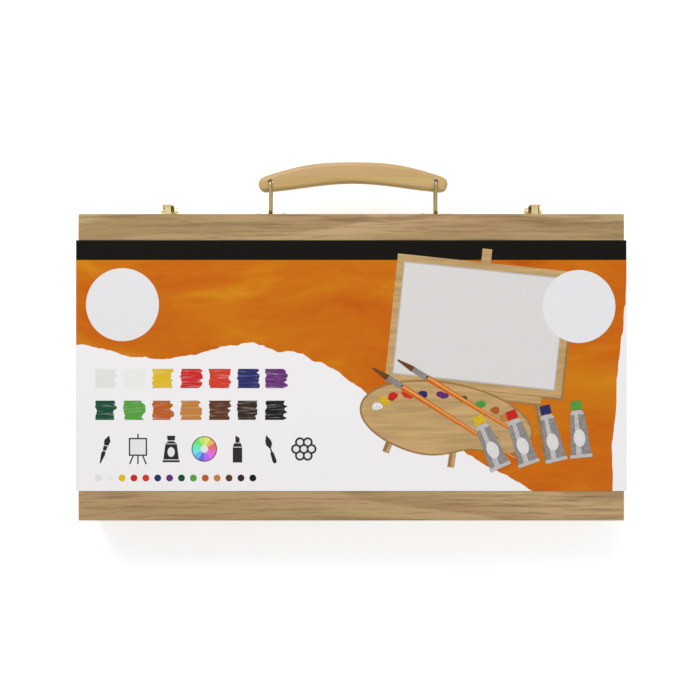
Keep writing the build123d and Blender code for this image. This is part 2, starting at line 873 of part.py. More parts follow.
def marker_recesses():
    """One recess for each marker, wide round the cap and narrower along the barrel."""
    cap_half = marker_cap_radius + marker_fit
    body_half = marker_body_radius + marker_fit
    cap_ends = (marker_front - marker_end_gap, marker_cap_end + marker_end_gap)
    body_ends = (marker_cap_end - tub_corner, marker_front + marker_length + marker_end_gap)
    spans = []
    for index in range(len(marker_names)):
        x = marker_x(index)
        spans.append(((x - cap_half, x + cap_half), cap_ends, marker_floor))
        spans.append(((x - body_half, x + body_half), body_ends, marker_floor))
    return spans


def lid_tray():
    """White tray of the lid, with recesses for the markers and the boards."""
    tray = tray_shell(lid_deck, lid_ceiling, -1)
    board_half = board_width / 2 + board_fit
    board_span = (board_middle - board_tub_length / 2, board_middle + board_tub_length / 2)
    recesses = marker_recesses() + [(board_span, (-board_half, board_half), board_back + guide_thick)]
    for x_span, y_span, floor in recesses:
        tray += tub(grown(x_span), grown(y_span), (lid_deck, floor + tray_sheet))
    for x_span, y_span, floor in recesses:
        tray -= tub(x_span, y_span, (lid_deck - past, floor))
    return tray


keep("base_tray", base_tray())
keep("lid_tray", lid_tray())


# Paint tubes
tube_z = tube_floor + tube_radius
tube_shoulder_y = tube_front + tube_length - tube_cap_length - tube_neck_length - tube_shoulder_length
crimp_half = pi * tube_radius / 2 - tube_crimp_thick / 2


def tube_x(index):
    """Middle of one tube along the box."""
    return (index - (tube_count - 1) / 2) * tube_pitch


def tube_body(x):
    """Metal tube, round at the shoulder and flat at the folded end."""
    crimp_z = tube_floor + tube_crimp_thick / 2
    crimp_y = tube_front + tube_crimp_length
    facing = {"x_dir": (1, 0, 0), "z_dir": (0, -1, 0)}
    middle_y = (crimp_y + tube_shoulder_y) / 2
    waist_half = tube_radius * tube_waist_flattening
    middle = Plane(origin=(x, middle_y, tube_floor + waist_half), **facing)
    sections = [
        Plane(origin=(x, tube_shoulder_y, tube_z), **facing) * Circle(tube_radius),
        middle * Ellipse(tube_radius * tube_waist_widening, waist_half),
        Plane(origin=(x, crimp_y, crimp_z), **facing) * Ellipse(crimp_half, tube_crimp_thick / 2),
    ]
    shell = loft(sections)
    fold = block(
        (x - crimp_half, x + crimp_half),
        (tube_front, crimp_y),
        (tube_floor, tube_floor + tube_crimp_thick),
    )
    shoulder = Pos(x, tube_shoulder_y + tube_shoulder_length / 2, tube_z) * Rot(-90, 0, 0) * Cone(
        tube_radius, tube_neck_radius, tube_shoulder_length
    )
    neck_start = (x, tube_shoulder_y + tube_shoulder_length, tube_z)
    return shell + fold + shoulder + rod(neck_start, (0, 1, 0), tube_neck_radius, tube_neck_length)


def tube_cap(x):
    """Ribbed screw cap, seated on the end of the neck."""
    start_y = tube_front + tube_length - tube_cap_length
    cap = rod((x, start_y, tube_z), (0, 1, 0), tube_cap_radius - cap_rib_radius, tube_cap_length)
    cap = fillet(cap.edges().sort_by(Axis.Y)[-1], cap_end_round)
    ribs = []
    for index in range(cap_rib_count):
        angle = 2 * pi * index / cap_rib_count
        reach = tube_cap_radius - cap_rib_radius
        start = (x + reach * cos(angle), start_y, tube_z + reach * sin(angle))
        ribs.append(rod(start, (0, 1, 0), cap_rib_radius, cap_rib_length))
    return cap.fuse(*ribs)


first_body = tube_body(tube_x(0))
first_cap = tube_cap(tube_x(0))
tube_shifts = [Pos(index * tube_pitch, 0, 0) for index in range(tube_count)]
keep("tube_bodies", *[shift * first_body for shift in tube_shifts])
keep("tube_caps", *[shift * first_cap for shift in tube_shifts])

# Brushes, tufts to the left
brush_z = implement_floor + handle_belly + fixed_clear
brush_tip_x = implement_tub_low + implement_end_gap
brush_middle_y = brush_tub_front + implement_tub_width / 2
brush_lines = [brush_middle_y + way * brush_pitch / 2 for way in (-1, 1)]
ferrule_start_x = brush_tip_x + tuft_length
handle_start_x = ferrule_start_x + ferrule_length
brush_end_x = brush_tip_x + brush_length


def turned(y, profile):
    """A turned piece: its profile is given along X and out from the brush's line."""
    start, end = profile[0][0], profile[-1][0]
    side_line = Spline(*profile) if len(profile) > 2 else Line(*profile)
    face = make_face([
        side_line,
        Line(profile[-1], (end, 0)),
        Line((end, 0), (start, 0)),
        Line((start, 0), profile[0]),
    ])
    return Pos(0, y, brush_z) * revolve(face, axis=Axis.X)


def brush_handle(y):
    """Turned wooden handle, swelling behind the ferrule and thin at the end."""
    length = brush_end_x - handle_start_x
    profile = [
        (handle_start_x, handle_mouth),
        (handle_start_x + length * handle_belly_at, handle_belly),
        (handle_start_x + length * handle_taper_at, (handle_belly + handle_end) / 2),
        (brush_end_x, handle_end),
    ]
    return turned(y, profile)


def brush_ferrule(y):
    """Metal ferrule, waisted towards the tuft."""
    return turned(y, [(ferrule_start_x, ferrule_waist), (handle_start_x, ferrule_radius)])


def brush_tuft(y):
    """Straight bristles standing on a thin slice, longest in the middle."""
    face = Plane(origin=(ferrule_start_x, y, brush_z), x_dir=(0, 1, 0), z_dir=(-1, 0, 0))
    slice_radius = ferrule_waist - strand_side / 2
    backing = extrude(face * Circle(slice_radius), amount=tuft_slice)
    strands = []
    rows = int(slice_radius / strand_pitch)
    for row in range(-rows, rows + 1):
        for column in range(-rows, rows + 1):
            across = (column + 0.5 * (row % 2)) * strand_pitch
            up = row * strand_pitch * sqrt(3) / 2
            reach = sqrt(across ** 2 + up ** 2)
            if reach > slice_radius - strand_side / 2:
                continue
            length = tuft_length * (1 - tuft_edge_cut * (reach / slice_radius) ** 2)
            section = face * Pos(across, up) * RegularPolygon(strand_side / 2, 3)
            strands.append(extrude(section, amount=length))
    return backing.fuse(*strands), len(strands)


tufts = [brush_tuft(y) for y in brush_lines]
print("bristles:", sum(count for _, count in tufts))
keep("brush_handles", *[brush_handle(y) for y in brush_lines])
keep("brush_ferrules", *[brush_ferrule(y) for y in brush_lines])
keep("brush_tufts", *[tuft for tuft, _ in tufts])

# Painting knives, blades to the left
knife_middle_y = knife_tub_front + implement_tub_width / 2
knife_lines = [knife_middle_y + way * knife_pitch / 2 for way in (-1, 1)]
knife_tip_x = implement_tub_low + implement_end_gap
knife_end_x = knife_tip_x + knife_length
knife_neck_x = knife_tip_x + knife_blade_length


def knife(y, blade_half):
    """Moulded knife: a leaf-shaped blade, a thin neck and a thicker handle."""
    shoulder_x = knife_tip_x + knife_blade_length * knife_widest_at
    handle_x = knife_neck_x + knife_neck_length
    top = Spline((knife_tip_x, 0), (shoulder_x, blade_half), (knife_neck_x, knife_neck_half))
    bottom = mirror(top, about=Plane.XZ)
    blade = make_face([top, bottom, Line(top @ 1, bottom @ 1)])
    neck_length = handle_x - knife_neck_x + 2 * knife_handle_half
    neck = Pos(knife_neck_x + neck_length / 2, 0) * Rectangle(neck_length, 2 * knife_neck_half)
    handle = Pos((handle_x + knife_end_x) / 2, 0) * SlotOverall(knife_end_x - handle_x, 2 * knife_handle_half)
    flat = extrude(blade + neck, amount=knife_thick)
    thick = extrude(handle, amount=knife_handle_thick)
    return Pos(0, y, implement_floor) * (flat + thick)


wide_knife = knife(knife_lines[0], knife_blade_half)
narrow_knife = knife(knife_lines[1], narrow_blade_half)
keep("painting_knives", wide_knife, narrow_knife)


# Mixing palette
def mixing_palette():
    """Flower-shaped dish with a shallow well in each petal and in the middle."""
    spots = list(PolarLocations(palette_ring_radius, palette_petals))
    petals = [spot * Circle(palette_petal_radius) for spot in spots]
    dish = extrude(joined([Circle(palette_core_radius)] + petals), amount=palette_height)
    well_floor_z = palette_height - palette_well_depth
    for spot in spots + [Pos(0, 0)]:
        well = spot * Circle(palette_well_radius)
        dish -= Pos(0, 0, well_floor_z) * extrude(well, amount=palette_height)
    return dish


keep("mixing_palette", Pos(palette_x, palette_y, palette_floor) * mixing_palette())


# Markers, caps towards the handle
def marker_cap(x):
    """Wide cap with a rounded end."""
    cap = rod((x, marker_front, marker_z), (0, 1, 0), marker_cap_radius, marker_cap_length)
    return fillet(cap.edges().sort_by(Axis.Y)[0], marker_round)


def marker_body(x):
    """Barrel with a narrower tail plug."""
    body_length = marker_length - marker_cap_length - marker_tail_length
    barrel = rod((x, marker_cap_end, marker_z), (0, 1, 0), marker_body_radius, body_length)
    tail_start = marker_cap_end + body_length
    tail = rod((x, tail_start, marker_z), (0, 1, 0), marker_tail_radius, marker_tail_length)
    return barrel + fillet(tail.edges().sort_by(Axis.Y)[-1], marker_round)


for index, name in enumerate(marker_names):
    keep(f"marker_{name}_body", marker_body(marker_x(index)))
    keep(f"marker_{name}_cap", marker_cap(marker_x(index)))


# Canvas boards and colour guide
def board(index):
    """One canvas board, the first at the deck."""
    low = board_face + index * board_thick
    return block(
        (board_middle - board_length / 2, board_middle + board_length / 2),
        (-board_width / 2, board_width / 2),
        (low, low + board_thick),
    )


keep("canvas_boards", *[board(index) for index in range(board_count)])
keep("colour_guide", rod((board_middle, 0, board_back), (0, 0, 1), guide_radius, guide_thick))

os.makedirs("parts", exist_ok=True)
for name, shape in nodes.items():
    export_step(shape, f"parts/{name}.step")
print("nodes:", len(nodes))
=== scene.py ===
# %% [markdown]
# # Dressing a wooden paint box
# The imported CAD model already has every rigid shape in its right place. This lesson loads
# it, paints each piece with its own finish, and adds what CAD leaves plain: the print on the
# card sleeve, the bristles of the brushes, the crimped ferrules and the labels on the tubes.
# Everything is in metres. The box lies flat with its handle towards -Y and its lid up.

# %% Load the frame
import math
import random

import bmesh
import bpy
from mathutils import Matrix, Vector


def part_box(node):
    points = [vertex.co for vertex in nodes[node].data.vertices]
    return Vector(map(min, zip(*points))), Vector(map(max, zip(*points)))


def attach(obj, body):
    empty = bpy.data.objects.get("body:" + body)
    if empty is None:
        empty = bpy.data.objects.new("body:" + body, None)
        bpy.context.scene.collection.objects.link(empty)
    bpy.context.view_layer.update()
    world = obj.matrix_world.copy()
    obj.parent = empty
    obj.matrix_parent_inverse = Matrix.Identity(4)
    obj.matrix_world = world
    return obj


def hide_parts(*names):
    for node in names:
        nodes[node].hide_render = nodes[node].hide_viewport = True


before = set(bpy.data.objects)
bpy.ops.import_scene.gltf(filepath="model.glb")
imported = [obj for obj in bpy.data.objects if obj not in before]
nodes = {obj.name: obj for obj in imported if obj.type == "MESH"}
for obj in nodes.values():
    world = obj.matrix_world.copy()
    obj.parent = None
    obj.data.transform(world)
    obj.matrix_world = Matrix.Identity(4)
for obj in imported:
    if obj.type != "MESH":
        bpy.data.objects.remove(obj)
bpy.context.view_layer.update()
MM = 0.001

# %% [markdown]
# ## Camera
# The photograph looks straight down on the closed box with the handle at the top of the
# picture. So the camera hangs over the middle of the lid, looks along -Z, and is turned half
# round so that -Y points up. An orthographic camera would hide the sides too, but a long
# lens from about a metre hides them as the real one did, and keeps a little perspective.

# %% Hang the camera
LID_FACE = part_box("sleeve_lid_half")[1].z
CAMERA_HEIGHT = 1.0
SEEN_WIDTH = 0.5064
PICTURE_MIDDLE = (0.0009, -0.0125)
FILM_WIDTH = 36.0
camera_data = bpy.data.cameras.new("camera")
camera_data.sensor_width = FILM_WIDTH
camera_data.lens = FILM_WIDTH * CAMERA_HEIGHT / SEEN_WIDTH
camera = bpy.data.objects.new("camera", camera_data)
camera.location = (*PICTURE_MIDDLE, LID_FACE + CAMERA_HEIGHT)
camera.rotation_euler = (0.0, 0.0, math.pi)
bpy.context.scene.collection.objects.link(camera)
bpy.context.scene.camera = camera
bpy.context.scene.view_settings.view_transform = "Standard"
print("lens:", round(camera_data.lens, 1), "mm")

# %% [markdown]
# ## Colours and nodes
# Colours are easiest to pick as the numbers a screen shows, from 0 to 255, but a shader
# wants light, which is not in step with those numbers. One small function turns one into the
# other. Nodes could be made and linked one by one, but a finish needs dozens. So a small
# class does that, a second one adds coordinates and noise, and a third one the sums and the
# mixing that the finishes share. Each finish below then reads as a recipe.


# %% Colours
def screen(red, green, blue):
    """A colour given as the screen shows it, turned into the light a shader works with."""
    parts = [value / 255 for value in (red, green, blue)]
    linear = [p / 12.92 if p <= 0.04045 else ((p + 0.055) / 1.055) ** 2.4 for p in parts]
    return (*linear, 1.0)


print("mid grey as light:", round(screen(128, 128, 128)[0], 3))


# %% A finish and its nodes
class Finish:
    """A material under construction: its nodes, its links and its main shader."""

    def __init__(self, name, colour=None, roughness=0.5, metallic=0.0):
        self.material = bpy.data.materials.new(name)
        self.material.use_nodes = True
        self.tree = self.material.node_tree
        self.shader = self.tree.nodes["Principled BSDF"]
        self.set("Roughness", roughness)
        self.set("Metallic", metallic)
        if colour:
            self.set("Base Color", colour)

    def set(self, socket, value):
        """Sets a fixed value on the main shader."""
        self.shader.inputs[socket].default_value = value

    def join(self, value, socket):
        """Feeds a socket with another socket, or sets it to a plain value."""
        if isinstance(value, bpy.types.NodeSocket):
            self.tree.links.new(value, socket)
        else:
            socket.default_value = value

    def drive(self, socket, value):
        """Feeds a socket of the main shader."""
        self.join(value, self.shader.inputs[socket])

    def node(self, kind, inputs=(), **settings):
        """Adds a node, sets its options, and feeds its first sockets in order."""
        made = self.tree.nodes.new("ShaderNode" + kind)
        for key, value in settings.items():
            setattr(made, key, value)
        for value, socket in zip(inputs, made.inputs):
            self.join(value, socket)
        return made


print("finishes can be built")


# %% Coordinates and noise
class Pattern(Finish):
    """A finish that knows where a point lies, which way it faces, and noise."""

    def axes(self, source=None):
        """The three coordinates one by one, in metres unless another source is given."""
        return self.node("SeparateXYZ", [source or self.node("TexCoord").outputs["Object"]]).outputs

    def normals(self):
        """The three parts of the direction that the surface faces."""
        return self.axes(self.node("TexCoord").outputs["Normal"])

    def stretched(self, scale, shift=(0, 0, 0), turn=(0, 0, 0), source=None):
        """Coordinates moved, turned and scaled along each axis."""
        made = self.node("Mapping", [source or self.node("TexCoord").outputs["Object"]])
        made.inputs["Location"].default_value = shift
        made.inputs["Rotation"].default_value = turn
        made.inputs["Scale"].default_value = scale
        return made.outputs["Vector"]

    def noise(self, where, detail=2.0, roughness=0.5, distortion=0.0):
        """A value from 0 to 1, at coordinates or at a scale along each axis."""
        made = self.node("TexNoise")
        vector = self.stretched(where) if isinstance(where, tuple) else where
        self.join(vector, made.inputs["Vector"])
        made.inputs["Scale"].default_value = 1.0
        made.inputs["Detail"].default_value = detail
        made.inputs["Roughness"].default_value = roughness
        made.inputs["Distortion"].default_value = distortion
        return made.outputs[0]


print("patterns ready")


# %% Sums, mixing and relief
class Recipe(Pattern):
    """A pattern that can also work out sums, mix colours and raise small relief."""

    def maths(self, operation, *values):
        """One sum."""
        return self.node("Math", values, operation=operation).outputs[0]

    def step(self, value, low, high, start=0.0, end=1.0):
        """A smooth step between two values."""
        inputs = [value, low, high, start, end]
        return self.node("MapRange", inputs, interpolation_type="SMOOTHSTEP").outputs[0]

    def mix(self, amount, first, second):
        """One colour over another."""
        made = self.node("Mix", data_type="RGBA")
        self.join(amount, made.inputs[0])
        self.join(first, made.inputs[6])
        self.join(second, made.inputs[7])
        return made.outputs[2]

    def laid(self, colour, over, value, low, high, amount=1.0):
        """A second colour laid over the first where a value rises from low to high."""
        return self.mix(self.step(value, low, high, 0.0, amount), colour, over)

    def bump(self, height, distance, strength):
        """Small relief on the main shader."""
        made = self.node("Bump")
        made.inputs["Strength"].default_value = strength
        made.inputs["Distance"].default_value = distance
        self.join(height, made.inputs["Height"])
        self.drive("Normal", made.outputs[0])

    def ramp(self, value, stops, interpolation="LINEAR"):
        """A colour ramp with its stops given as (place, colour)."""
        made = self.node("ValToRGB", [value])
        band = made.color_ramp
        band.interpolation = interpolation
        while len(band.elements) < len(stops):
            band.elements.new(0.5)
        for element, (place, colour) in zip(band.elements, stops):
            element.position = place
            element.color = colour
        return made.outputs[0]


print("recipes ready")

# %% [markdown]
# ## Wood
# The case is pale hardwood under a satin lacquer. Its figure has three sizes: broad arches
# where the saw crossed the growth rings, fine fibres along the board, and short dark pores.
# A wave pattern would give arches too, but all alike. Here they are the contour lines of a
# very stretched noise, so they close on themselves now and then as real ones do. Each board
# is cut from another place in the tree, which is a shift of the coordinates, and its grain
# runs along the board. Where lid and base meet, a painted shade darkens the small bevels.

# %% Painted shade at the seam between lid and base
PARTING_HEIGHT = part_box("lid_front_wall")[0].z
# The tone of the painted shade in the gap between lid and base.
SEAM_SHADE_TONE = screen(84, 62, 40)


def painted_seam_shade(recipe, colour):
    """Painted shade: a dark line in the bevels where lid and base meet, but not on the flat rims."""
    away = recipe.maths("ABSOLUTE", recipe.maths("SUBTRACT", recipe.axes()[2], PARTING_HEIGHT))
    near = recipe.step(away, 0.20 * MM, 0.55 * MM, 0.75, 0.0)
    sloping = recipe.maths("LESS_THAN", recipe.maths("ABSOLUTE", recipe.normals()[2]), 0.85)
    return recipe.mix(recipe.maths("MULTIPLY", near, sloping), colour, SEAM_SHADE_TONE)


print("lid and base meet at", round(PARTING_HEIGHT / MM, 1), "mm")


# %% Wood recipe
def growth_rings(recipe, drift, rings):
    """A soft band for each year, from the contour lines of a slow drift."""
    year = recipe.maths("FRACT", recipe.maths("MULTIPLY", drift, rings))
    rise = recipe.step(year, 0.25, 0.90)
    fall = recipe.step(year, 0.90, 1.0, 1.0, 0.0)
    return recipe.maths("MULTIPLY", rise, fall)


def wood(name, along, shift, tones, contrast=1.0, rings=9.0, roughness=0.42):
    """Lacquered wood with its grain along X or Y."""
    pale, warm, middle, dark = tones
    recipe = Recipe(name, roughness=roughness)
    recipe.set("Specular IOR Level", 0.3)
    turn = (0, 0, 0) if along == "X" else (0, 0, math.pi / 2)
    board = recipe.stretched((1, 1, 1), shift=shift, turn=turn)

    def grain(scale, shift=(0, 0, 0), **settings):
        """Noise on this board, drawn out along the axes with a small scale."""
        return recipe.noise(recipe.stretched(scale, shift=shift, source=board), **settings)

    sway = grain((4, 22, 22), detail=1.0)
    arches = grain((1.6, 13, 13), detail=1.0, distortion=0.35)
    ring = growth_rings(recipe, recipe.maths("MULTIPLY_ADD", sway, 0.25, arches), rings)
    fibre = grain((14, 380, 380), detail=4.0, roughness=0.68)
    fine = grain((40, 1500, 1500))
    pores = recipe.step(grain((55, 1500, 1500), detail=1.0), 0.62, 0.74)
    cloud = grain((5, 17, 17))
    blush = grain((7, 90, 90), shift=(2, 5, 1), detail=3.0)
    colour = recipe.laid(pale, warm, blush, 0.38, 0.62)
    colour = recipe.mix(recipe.maths("MULTIPLY", ring, 0.70 * contrast), colour, middle)
    colour = recipe.laid(colour, dark, fibre, 0.42, 0.70, 0.80 * contrast)
    colour = recipe.laid(colour, middle, cloud, 0.45, 0.75, 0.35 * contrast)
    colour = recipe.laid(colour, pale, fine, 0.3, 0.7, 0.16)
    colour = recipe.mix(recipe.maths("MULTIPLY", pores, 0.6 * contrast), colour, dark)
    # The base colour gets a painted shade line along the seam between lid and base.
    recipe.drive("Base Color", painted_seam_shade(recipe, colour))
    recipe.drive("Roughness", recipe.step(fibre, 0.3, 0.8, roughness - 0.07, roughness + 0.09))
    raised = recipe.maths("MULTIPLY", fibre, 0.5)
    sunk = recipe.maths("MULTIPLY", pores, 0.6)
    recipe.bump(recipe.maths("SUBTRACT", raised, sunk), 0.08 * MM, 0.6)
    return recipe.material


print("wood recipe ready")


# %% Cut every board from its own place
def dress(name, material):
    """Gives a CAD node its finish."""
    mesh = nodes[name].data
    mesh.materials.clear()
    mesh.materials.append(material)


CASE_TONES = (
    screen(193, 167, 117), screen(195, 160, 118), screen(157, 127, 82), screen(122, 92, 58),
)
GRIP_TONES = (
    screen(206, 176, 114), screen(204, 168, 122), screen(190, 150, 92), screen(160, 120, 68),
)
BOARDS = {
    "lid_panel": ("X", (0.31, 0.12, 0.0)),
    "base_panel": ("X", (1.70, 0.55, 0.3)),
    "lid_front_wall": ("X", (0.90, 1.40, 0.7)),
    "base_front_wall": ("X", (2.30, 1.90, 0.2)),
    "lid_back_wall": ("X", (3.10, 2.30, 0.5)),
    "base_back_wall": ("X", (3.90, 2.80, 0.9)),
    "lid_left_wall": ("Y", (4.40, 0.20, 1.1)),
    "lid_right_wall": ("Y", (5.20, 0.80, 1.6)),
    "base_left_wall": ("Y", (6.10, 1.10, 2.1)),
    "base_right_wall": ("Y", (6.90, 1.70, 2.6)),
}
for name, (along, shift) in BOARDS.items():
    dress(name, wood("wood_" + name, along, shift, CASE_TONES))
grip_wood = wood(
    "grip_wood", "X", (7.7, 2.2, 3.3), GRIP_TONES, contrast=0.34, rings=6.0, roughness=0.34,
)
dress("handle_grip", grip_wood)
print("boards:", len(BOARDS))

# %% [markdown]
# ## Brass
# Latches, hinges, wires and screws are thin plated steel with a warm, fairly pale shine. One
# even metal would do, but a mirror-smooth one looks false at this size. So slow noise varies
# the roughness, and a finer one adds the faint orange peel of plating. The handle's rings
# are drawn wire, which is duller and looks dark along its sides.


# %% Brass recipe
def plated(name, colour, roughness, rim=1.0):
    """Plated metal with a slightly uneven polish, which may darken where it curves away."""
    recipe = Recipe(name, colour, roughness, metallic=1.0)
    recipe.set("Specular Tint", (rim, rim, rim, 1.0))
    smear = recipe.noise((70, 70, 70))
    tarnish = tuple(value * 0.74 for value in colour[:3]) + (1.0,)
    recipe.drive("Base Color", recipe.laid(colour, tarnish, smear, 0.40, 0.80))
    recipe.drive("Roughness", recipe.step(smear, 0.3, 0.75, roughness * 0.8, roughness * 1.4))
    recipe.bump(recipe.noise((600, 600, 600), detail=1.0), 0.01 * MM, 0.4)
    return recipe.material


brass = plated("brass", screen(226, 211, 160), 0.18)
screw_brass = plated("screw_brass", screen(216, 198, 144), 0.24)
wire_brass = plated("wire_brass", screen(172, 158, 112), 0.22, rim=0.35)
hardware = [name for name in nodes if name.startswith(("hinge_", "latch_", "handle_"))]
hardware.remove("handle_grip")
for name in hardware:
    if name.startswith("handle_wire"):
        dress(name, wire_brass)
    else:
        dress(name, screw_brass if name.endswith("_screws") else brass)
print("brass pieces:", len(hardware))

# %% [markdown]
# ## Moulded plastics
# Both trays are thin white sheet pulled over a mould, so they are smooth and a little
# glossy. The palette and the painting knives are moulded, the knives a shade greyer. A sheet
# pulled over a mould has no sharp edge. Its rims could be rounded in CAD, one by one, but a
# Bevel modifier on a copy of each tray rounds them all at once.


# %% Plastic recipe
def moulded(name, colour, roughness):
    """Moulded plastic with a faint surface texture."""
    recipe = Recipe(name, colour, roughness)
    texture = recipe.noise((600, 600, 600), detail=3.0)
    recipe.drive("Roughness", recipe.step(texture, 0.3, 0.8, roughness - 0.04, roughness + 0.08))
    recipe.bump(texture, 0.03 * MM, 0.5)
    return recipe.material


tray_plastic = moulded("tray_plastic", screen(236, 236, 235), 0.40)
palette_plastic = moulded("palette_plastic", screen(243, 243, 242), 0.36)
knife_plastic = moulded("knife_plastic", screen(217, 220, 221), 0.34)
dress("painting_knives", knife_plastic)
print("plastics:", tray_plastic.name, palette_plastic.name, knife_plastic.name)

# %% Piece helpers
MERGE_GAP = 0.001 * MM


def piece(name, work, materials, body, smooth=True):
    """Turns a bmesh into a named piece at the origin that rides on a body."""
    mesh = bpy.data.meshes.new(name)
    work.to_mesh(mesh)
    work.free()
    for polygon in mesh.polygons:
        polygon.use_smooth = smooth
    for material in materials:
        mesh.materials.append(material)
    made = bpy.data.objects.new(name, mesh)
    bpy.context.scene.collection.objects.link(made)
    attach(made, body)
    return made


def soft_edged(node, name, material, body, width):
    """A copy of a CAD node with its triangles joined and its edges rounded over."""
    work = bmesh.new()
    work.from_mesh(nodes[node].data)
    bmesh.ops.remove_doubles(work, verts=work.verts, dist=MERGE_GAP)
    bmesh.ops.dissolve_limit(work, angle_limit=math.radians(1), verts=work.verts, edges=work.edges)
    made = piece(name, work, [material], body)
    rounding = made.modifiers.new("rounding", "BEVEL")
    rounding.width = width
    rounding.segments = 3
    rounding.limit_method = "ANGLE"
    rounding.angle_limit = math.radians(30)
    rounding.use_clamp_overlap = False
    shading = made.modifiers.new("flat_shading", "WEIGHTED_NORMAL")
    shading.mode = "FACE_AREA"
    shading.weight = 100
    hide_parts(node)


print("piece helpers ready")

# %% Trays with rounded rims
TRAY_ROUNDING = 0.9 * MM
for body in ("base", "lid"):
    soft_edged(body + "_tray", body + "_moulding", tray_plastic, body, TRAY_ROUNDING)
print("rims rounded by", TRAY_ROUNDING / MM, "mm")

# %% [markdown]
# ## Mixing palette
# The palette is one moulding shaped like a flower: six round wells about a middle one, each
# with a soft lip, and shallow valleys between them. It could be sculpted, or cut with seven
# spheres and softened, but one smooth sheet is closer to how it is moulded. A line of points
# from the middle outwards is spun into a disc of rings and spokes. Then each point is pulled
# out to the flower's outline and lowered by how near it is to a well.

# %% Disc of rings and spokes
PETALS = 6
PETAL_RADIUS = 14.8 * MM
WELL_RADIUS = 11.0 * MM
RINGS = 52
SPOKES = 180
palette_low, palette_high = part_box("mixing_palette")
PETAL_RING = (palette_high.x - palette_low.x) / 2 - PETAL_RADIUS
dish = bmesh.new()
spine = [dish.verts.new((ring / RINGS, 0, 0)) for ring in range(RINGS + 1)]
spine_edges = [dish.edges.new(pair) for pair in zip(spine, spine[1:])]
bmesh.ops.spin(
    dish, geom=spine + spine_edges, cent=(0, 0, 0), axis=(0, 0, 1), angle=math.tau,
    steps=SPOKES, use_merge=True,
)
bmesh.ops.remove_doubles(dish, verts=dish.verts, dist=MERGE_GAP)
print("palette points:", len(dish.verts))


# %% Flower outline
def outline_reach(angle):
    """How far the flower reaches from its middle, softened between the petals."""
    nudges = (-4, -2, 0, 2, 4)
    reach = 0.0
    for nudge in nudges:
        turned = (angle + math.radians(nudge + 180 / PETALS)) % (math.tau / PETALS) - math.pi / PETALS
        reach += PETAL_RING * math.cos(turned)
        reach += math.sqrt(PETAL_RADIUS ** 2 - (PETAL_RING * math.sin(turned)) ** 2)
    return reach / len(nudges)


def ease(value):
    """A smooth step from 0 to 1."""
    value = min(max(value, 0.0), 1.0)
    return value * value * (3 - 2 * value)


def direction(angle):
    """The flat arrow of length 1 that points at an angle."""
    return Vector((math.cos(angle), math.sin(angle)))


print("reach of a petal:", round(outline_reach(0.0) / MM, 1), "mm")

# %% Press the wells
DISH_TALL = palette_high.z - palette_low.z
WELL_DEEP = 3.5 * MM
VALLEY_DEEP = 1.3 * MM
LIP = 2.0 * MM
wells = [Vector((0, 0))]
wells += [direction(math.tau * petal / PETALS) * PETAL_RING for petal in range(PETALS)]
for vert in dish.verts:
    share = vert.co.xy.length
    angle = math.atan2(vert.co.y, vert.co.x)
    edge_at = outline_reach(angle)
    flat = direction(angle) * share * edge_at
    near = min((flat - well).length for well in wells)
    well_drop = WELL_DEEP * (1 - ease((near - 0.45 * WELL_RADIUS) / (0.6 * WELL_RADIUS)))
    valley_drop = VALLEY_DEEP * ease((near - 1.12 * WELL_RADIUS) / (0.35 * WELL_RADIUS))
    curl = ease(1 - (1 - share) * edge_at / LIP)
    lip_drop = LIP * (1 - math.sqrt(1 - 0.98 * curl ** 2))
    vert.co = (flat.x, flat.y, DISH_TALL - well_drop - valley_drop - lip_drop)
print("wells:", len(wells))

# %% Close the palette below
palette_middle = (palette_low + palette_high) / 2
outer_edges = [edge for edge in dish.edges if edge.is_boundary]
skirt = bmesh.ops.extrude_edge_only(dish, edges=outer_edges)["geom"]
for vert in (item for item in skirt if isinstance(item, bmesh.types.BMVert)):
    vert.co.z = 0.0
bmesh.ops.contextual_create(dish, geom=[edge for edge in dish.edges if edge.is_boundary])
seat = (palette_middle.x, palette_middle.y, palette_low.z)
bmesh.ops.translate(dish, verts=dish.verts, vec=seat)
bmesh.ops.recalc_face_normals(dish, faces=dish.faces)
palette_piece = piece("palette_moulding", dish, [palette_plastic], "base")
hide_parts("mixing_palette")
print("palette faces:", len(palette_piece.data.polygons))

# %% [markdown]
# ## Paint tubes
# Fourteen soft aluminium tubes lie side by side. Their bodies are one CAD node, and so are
# their caps. Fourteen materials would need fourteen nodes, so colours are picked by how far
# along the box a point is: the length of the row is turned into a value from 0 to 1, and a
# stepped ramp gives each tube its own colour. The label is an oval in each tube's own small
# coordinates, and creases are noise squeezed along the tube.

# %% Row colours
PAINTS = (
    (232, 230, 226), (240, 239, 236), (226, 190, 40), (206, 44, 40), (214, 62, 42),
    (44, 48, 104), (104, 48, 118), (28, 78, 58), (88, 162, 66), (186, 96, 38),
    (196, 132, 66), (96, 58, 36), (58, 40, 32), (28, 27, 28),
)
TUBE_PITCH = 24.5 * MM
caps_low, caps_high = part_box("tube_caps")
ROW_START = (caps_low.x + caps_high.x - TUBE_PITCH * len(PAINTS)) / 2


def row_colour(recipe, colours, start, pitch):
    """The colour of each step along X, from a start and a pitch."""
    along = recipe.maths("SUBTRACT", recipe.axes()[0], start)
    share = recipe.maths("DIVIDE", along, pitch * len(colours))
    stops = [(index / len(colours), screen(*colour)) for index, colour in enumerate(colours)]
    return recipe.ramp(share, stops, "CONSTANT")


caps = Recipe("cap_plastic", roughness=0.38)
caps.drive("Base Color", row_colour(caps, PAINTS, ROW_START, TUBE_PITCH))
caps.bump(caps.noise((900, 900, 900)), 0.03 * MM, 0.5)
dress("tube_caps", caps.material)
print("caps:", len(PAINTS))

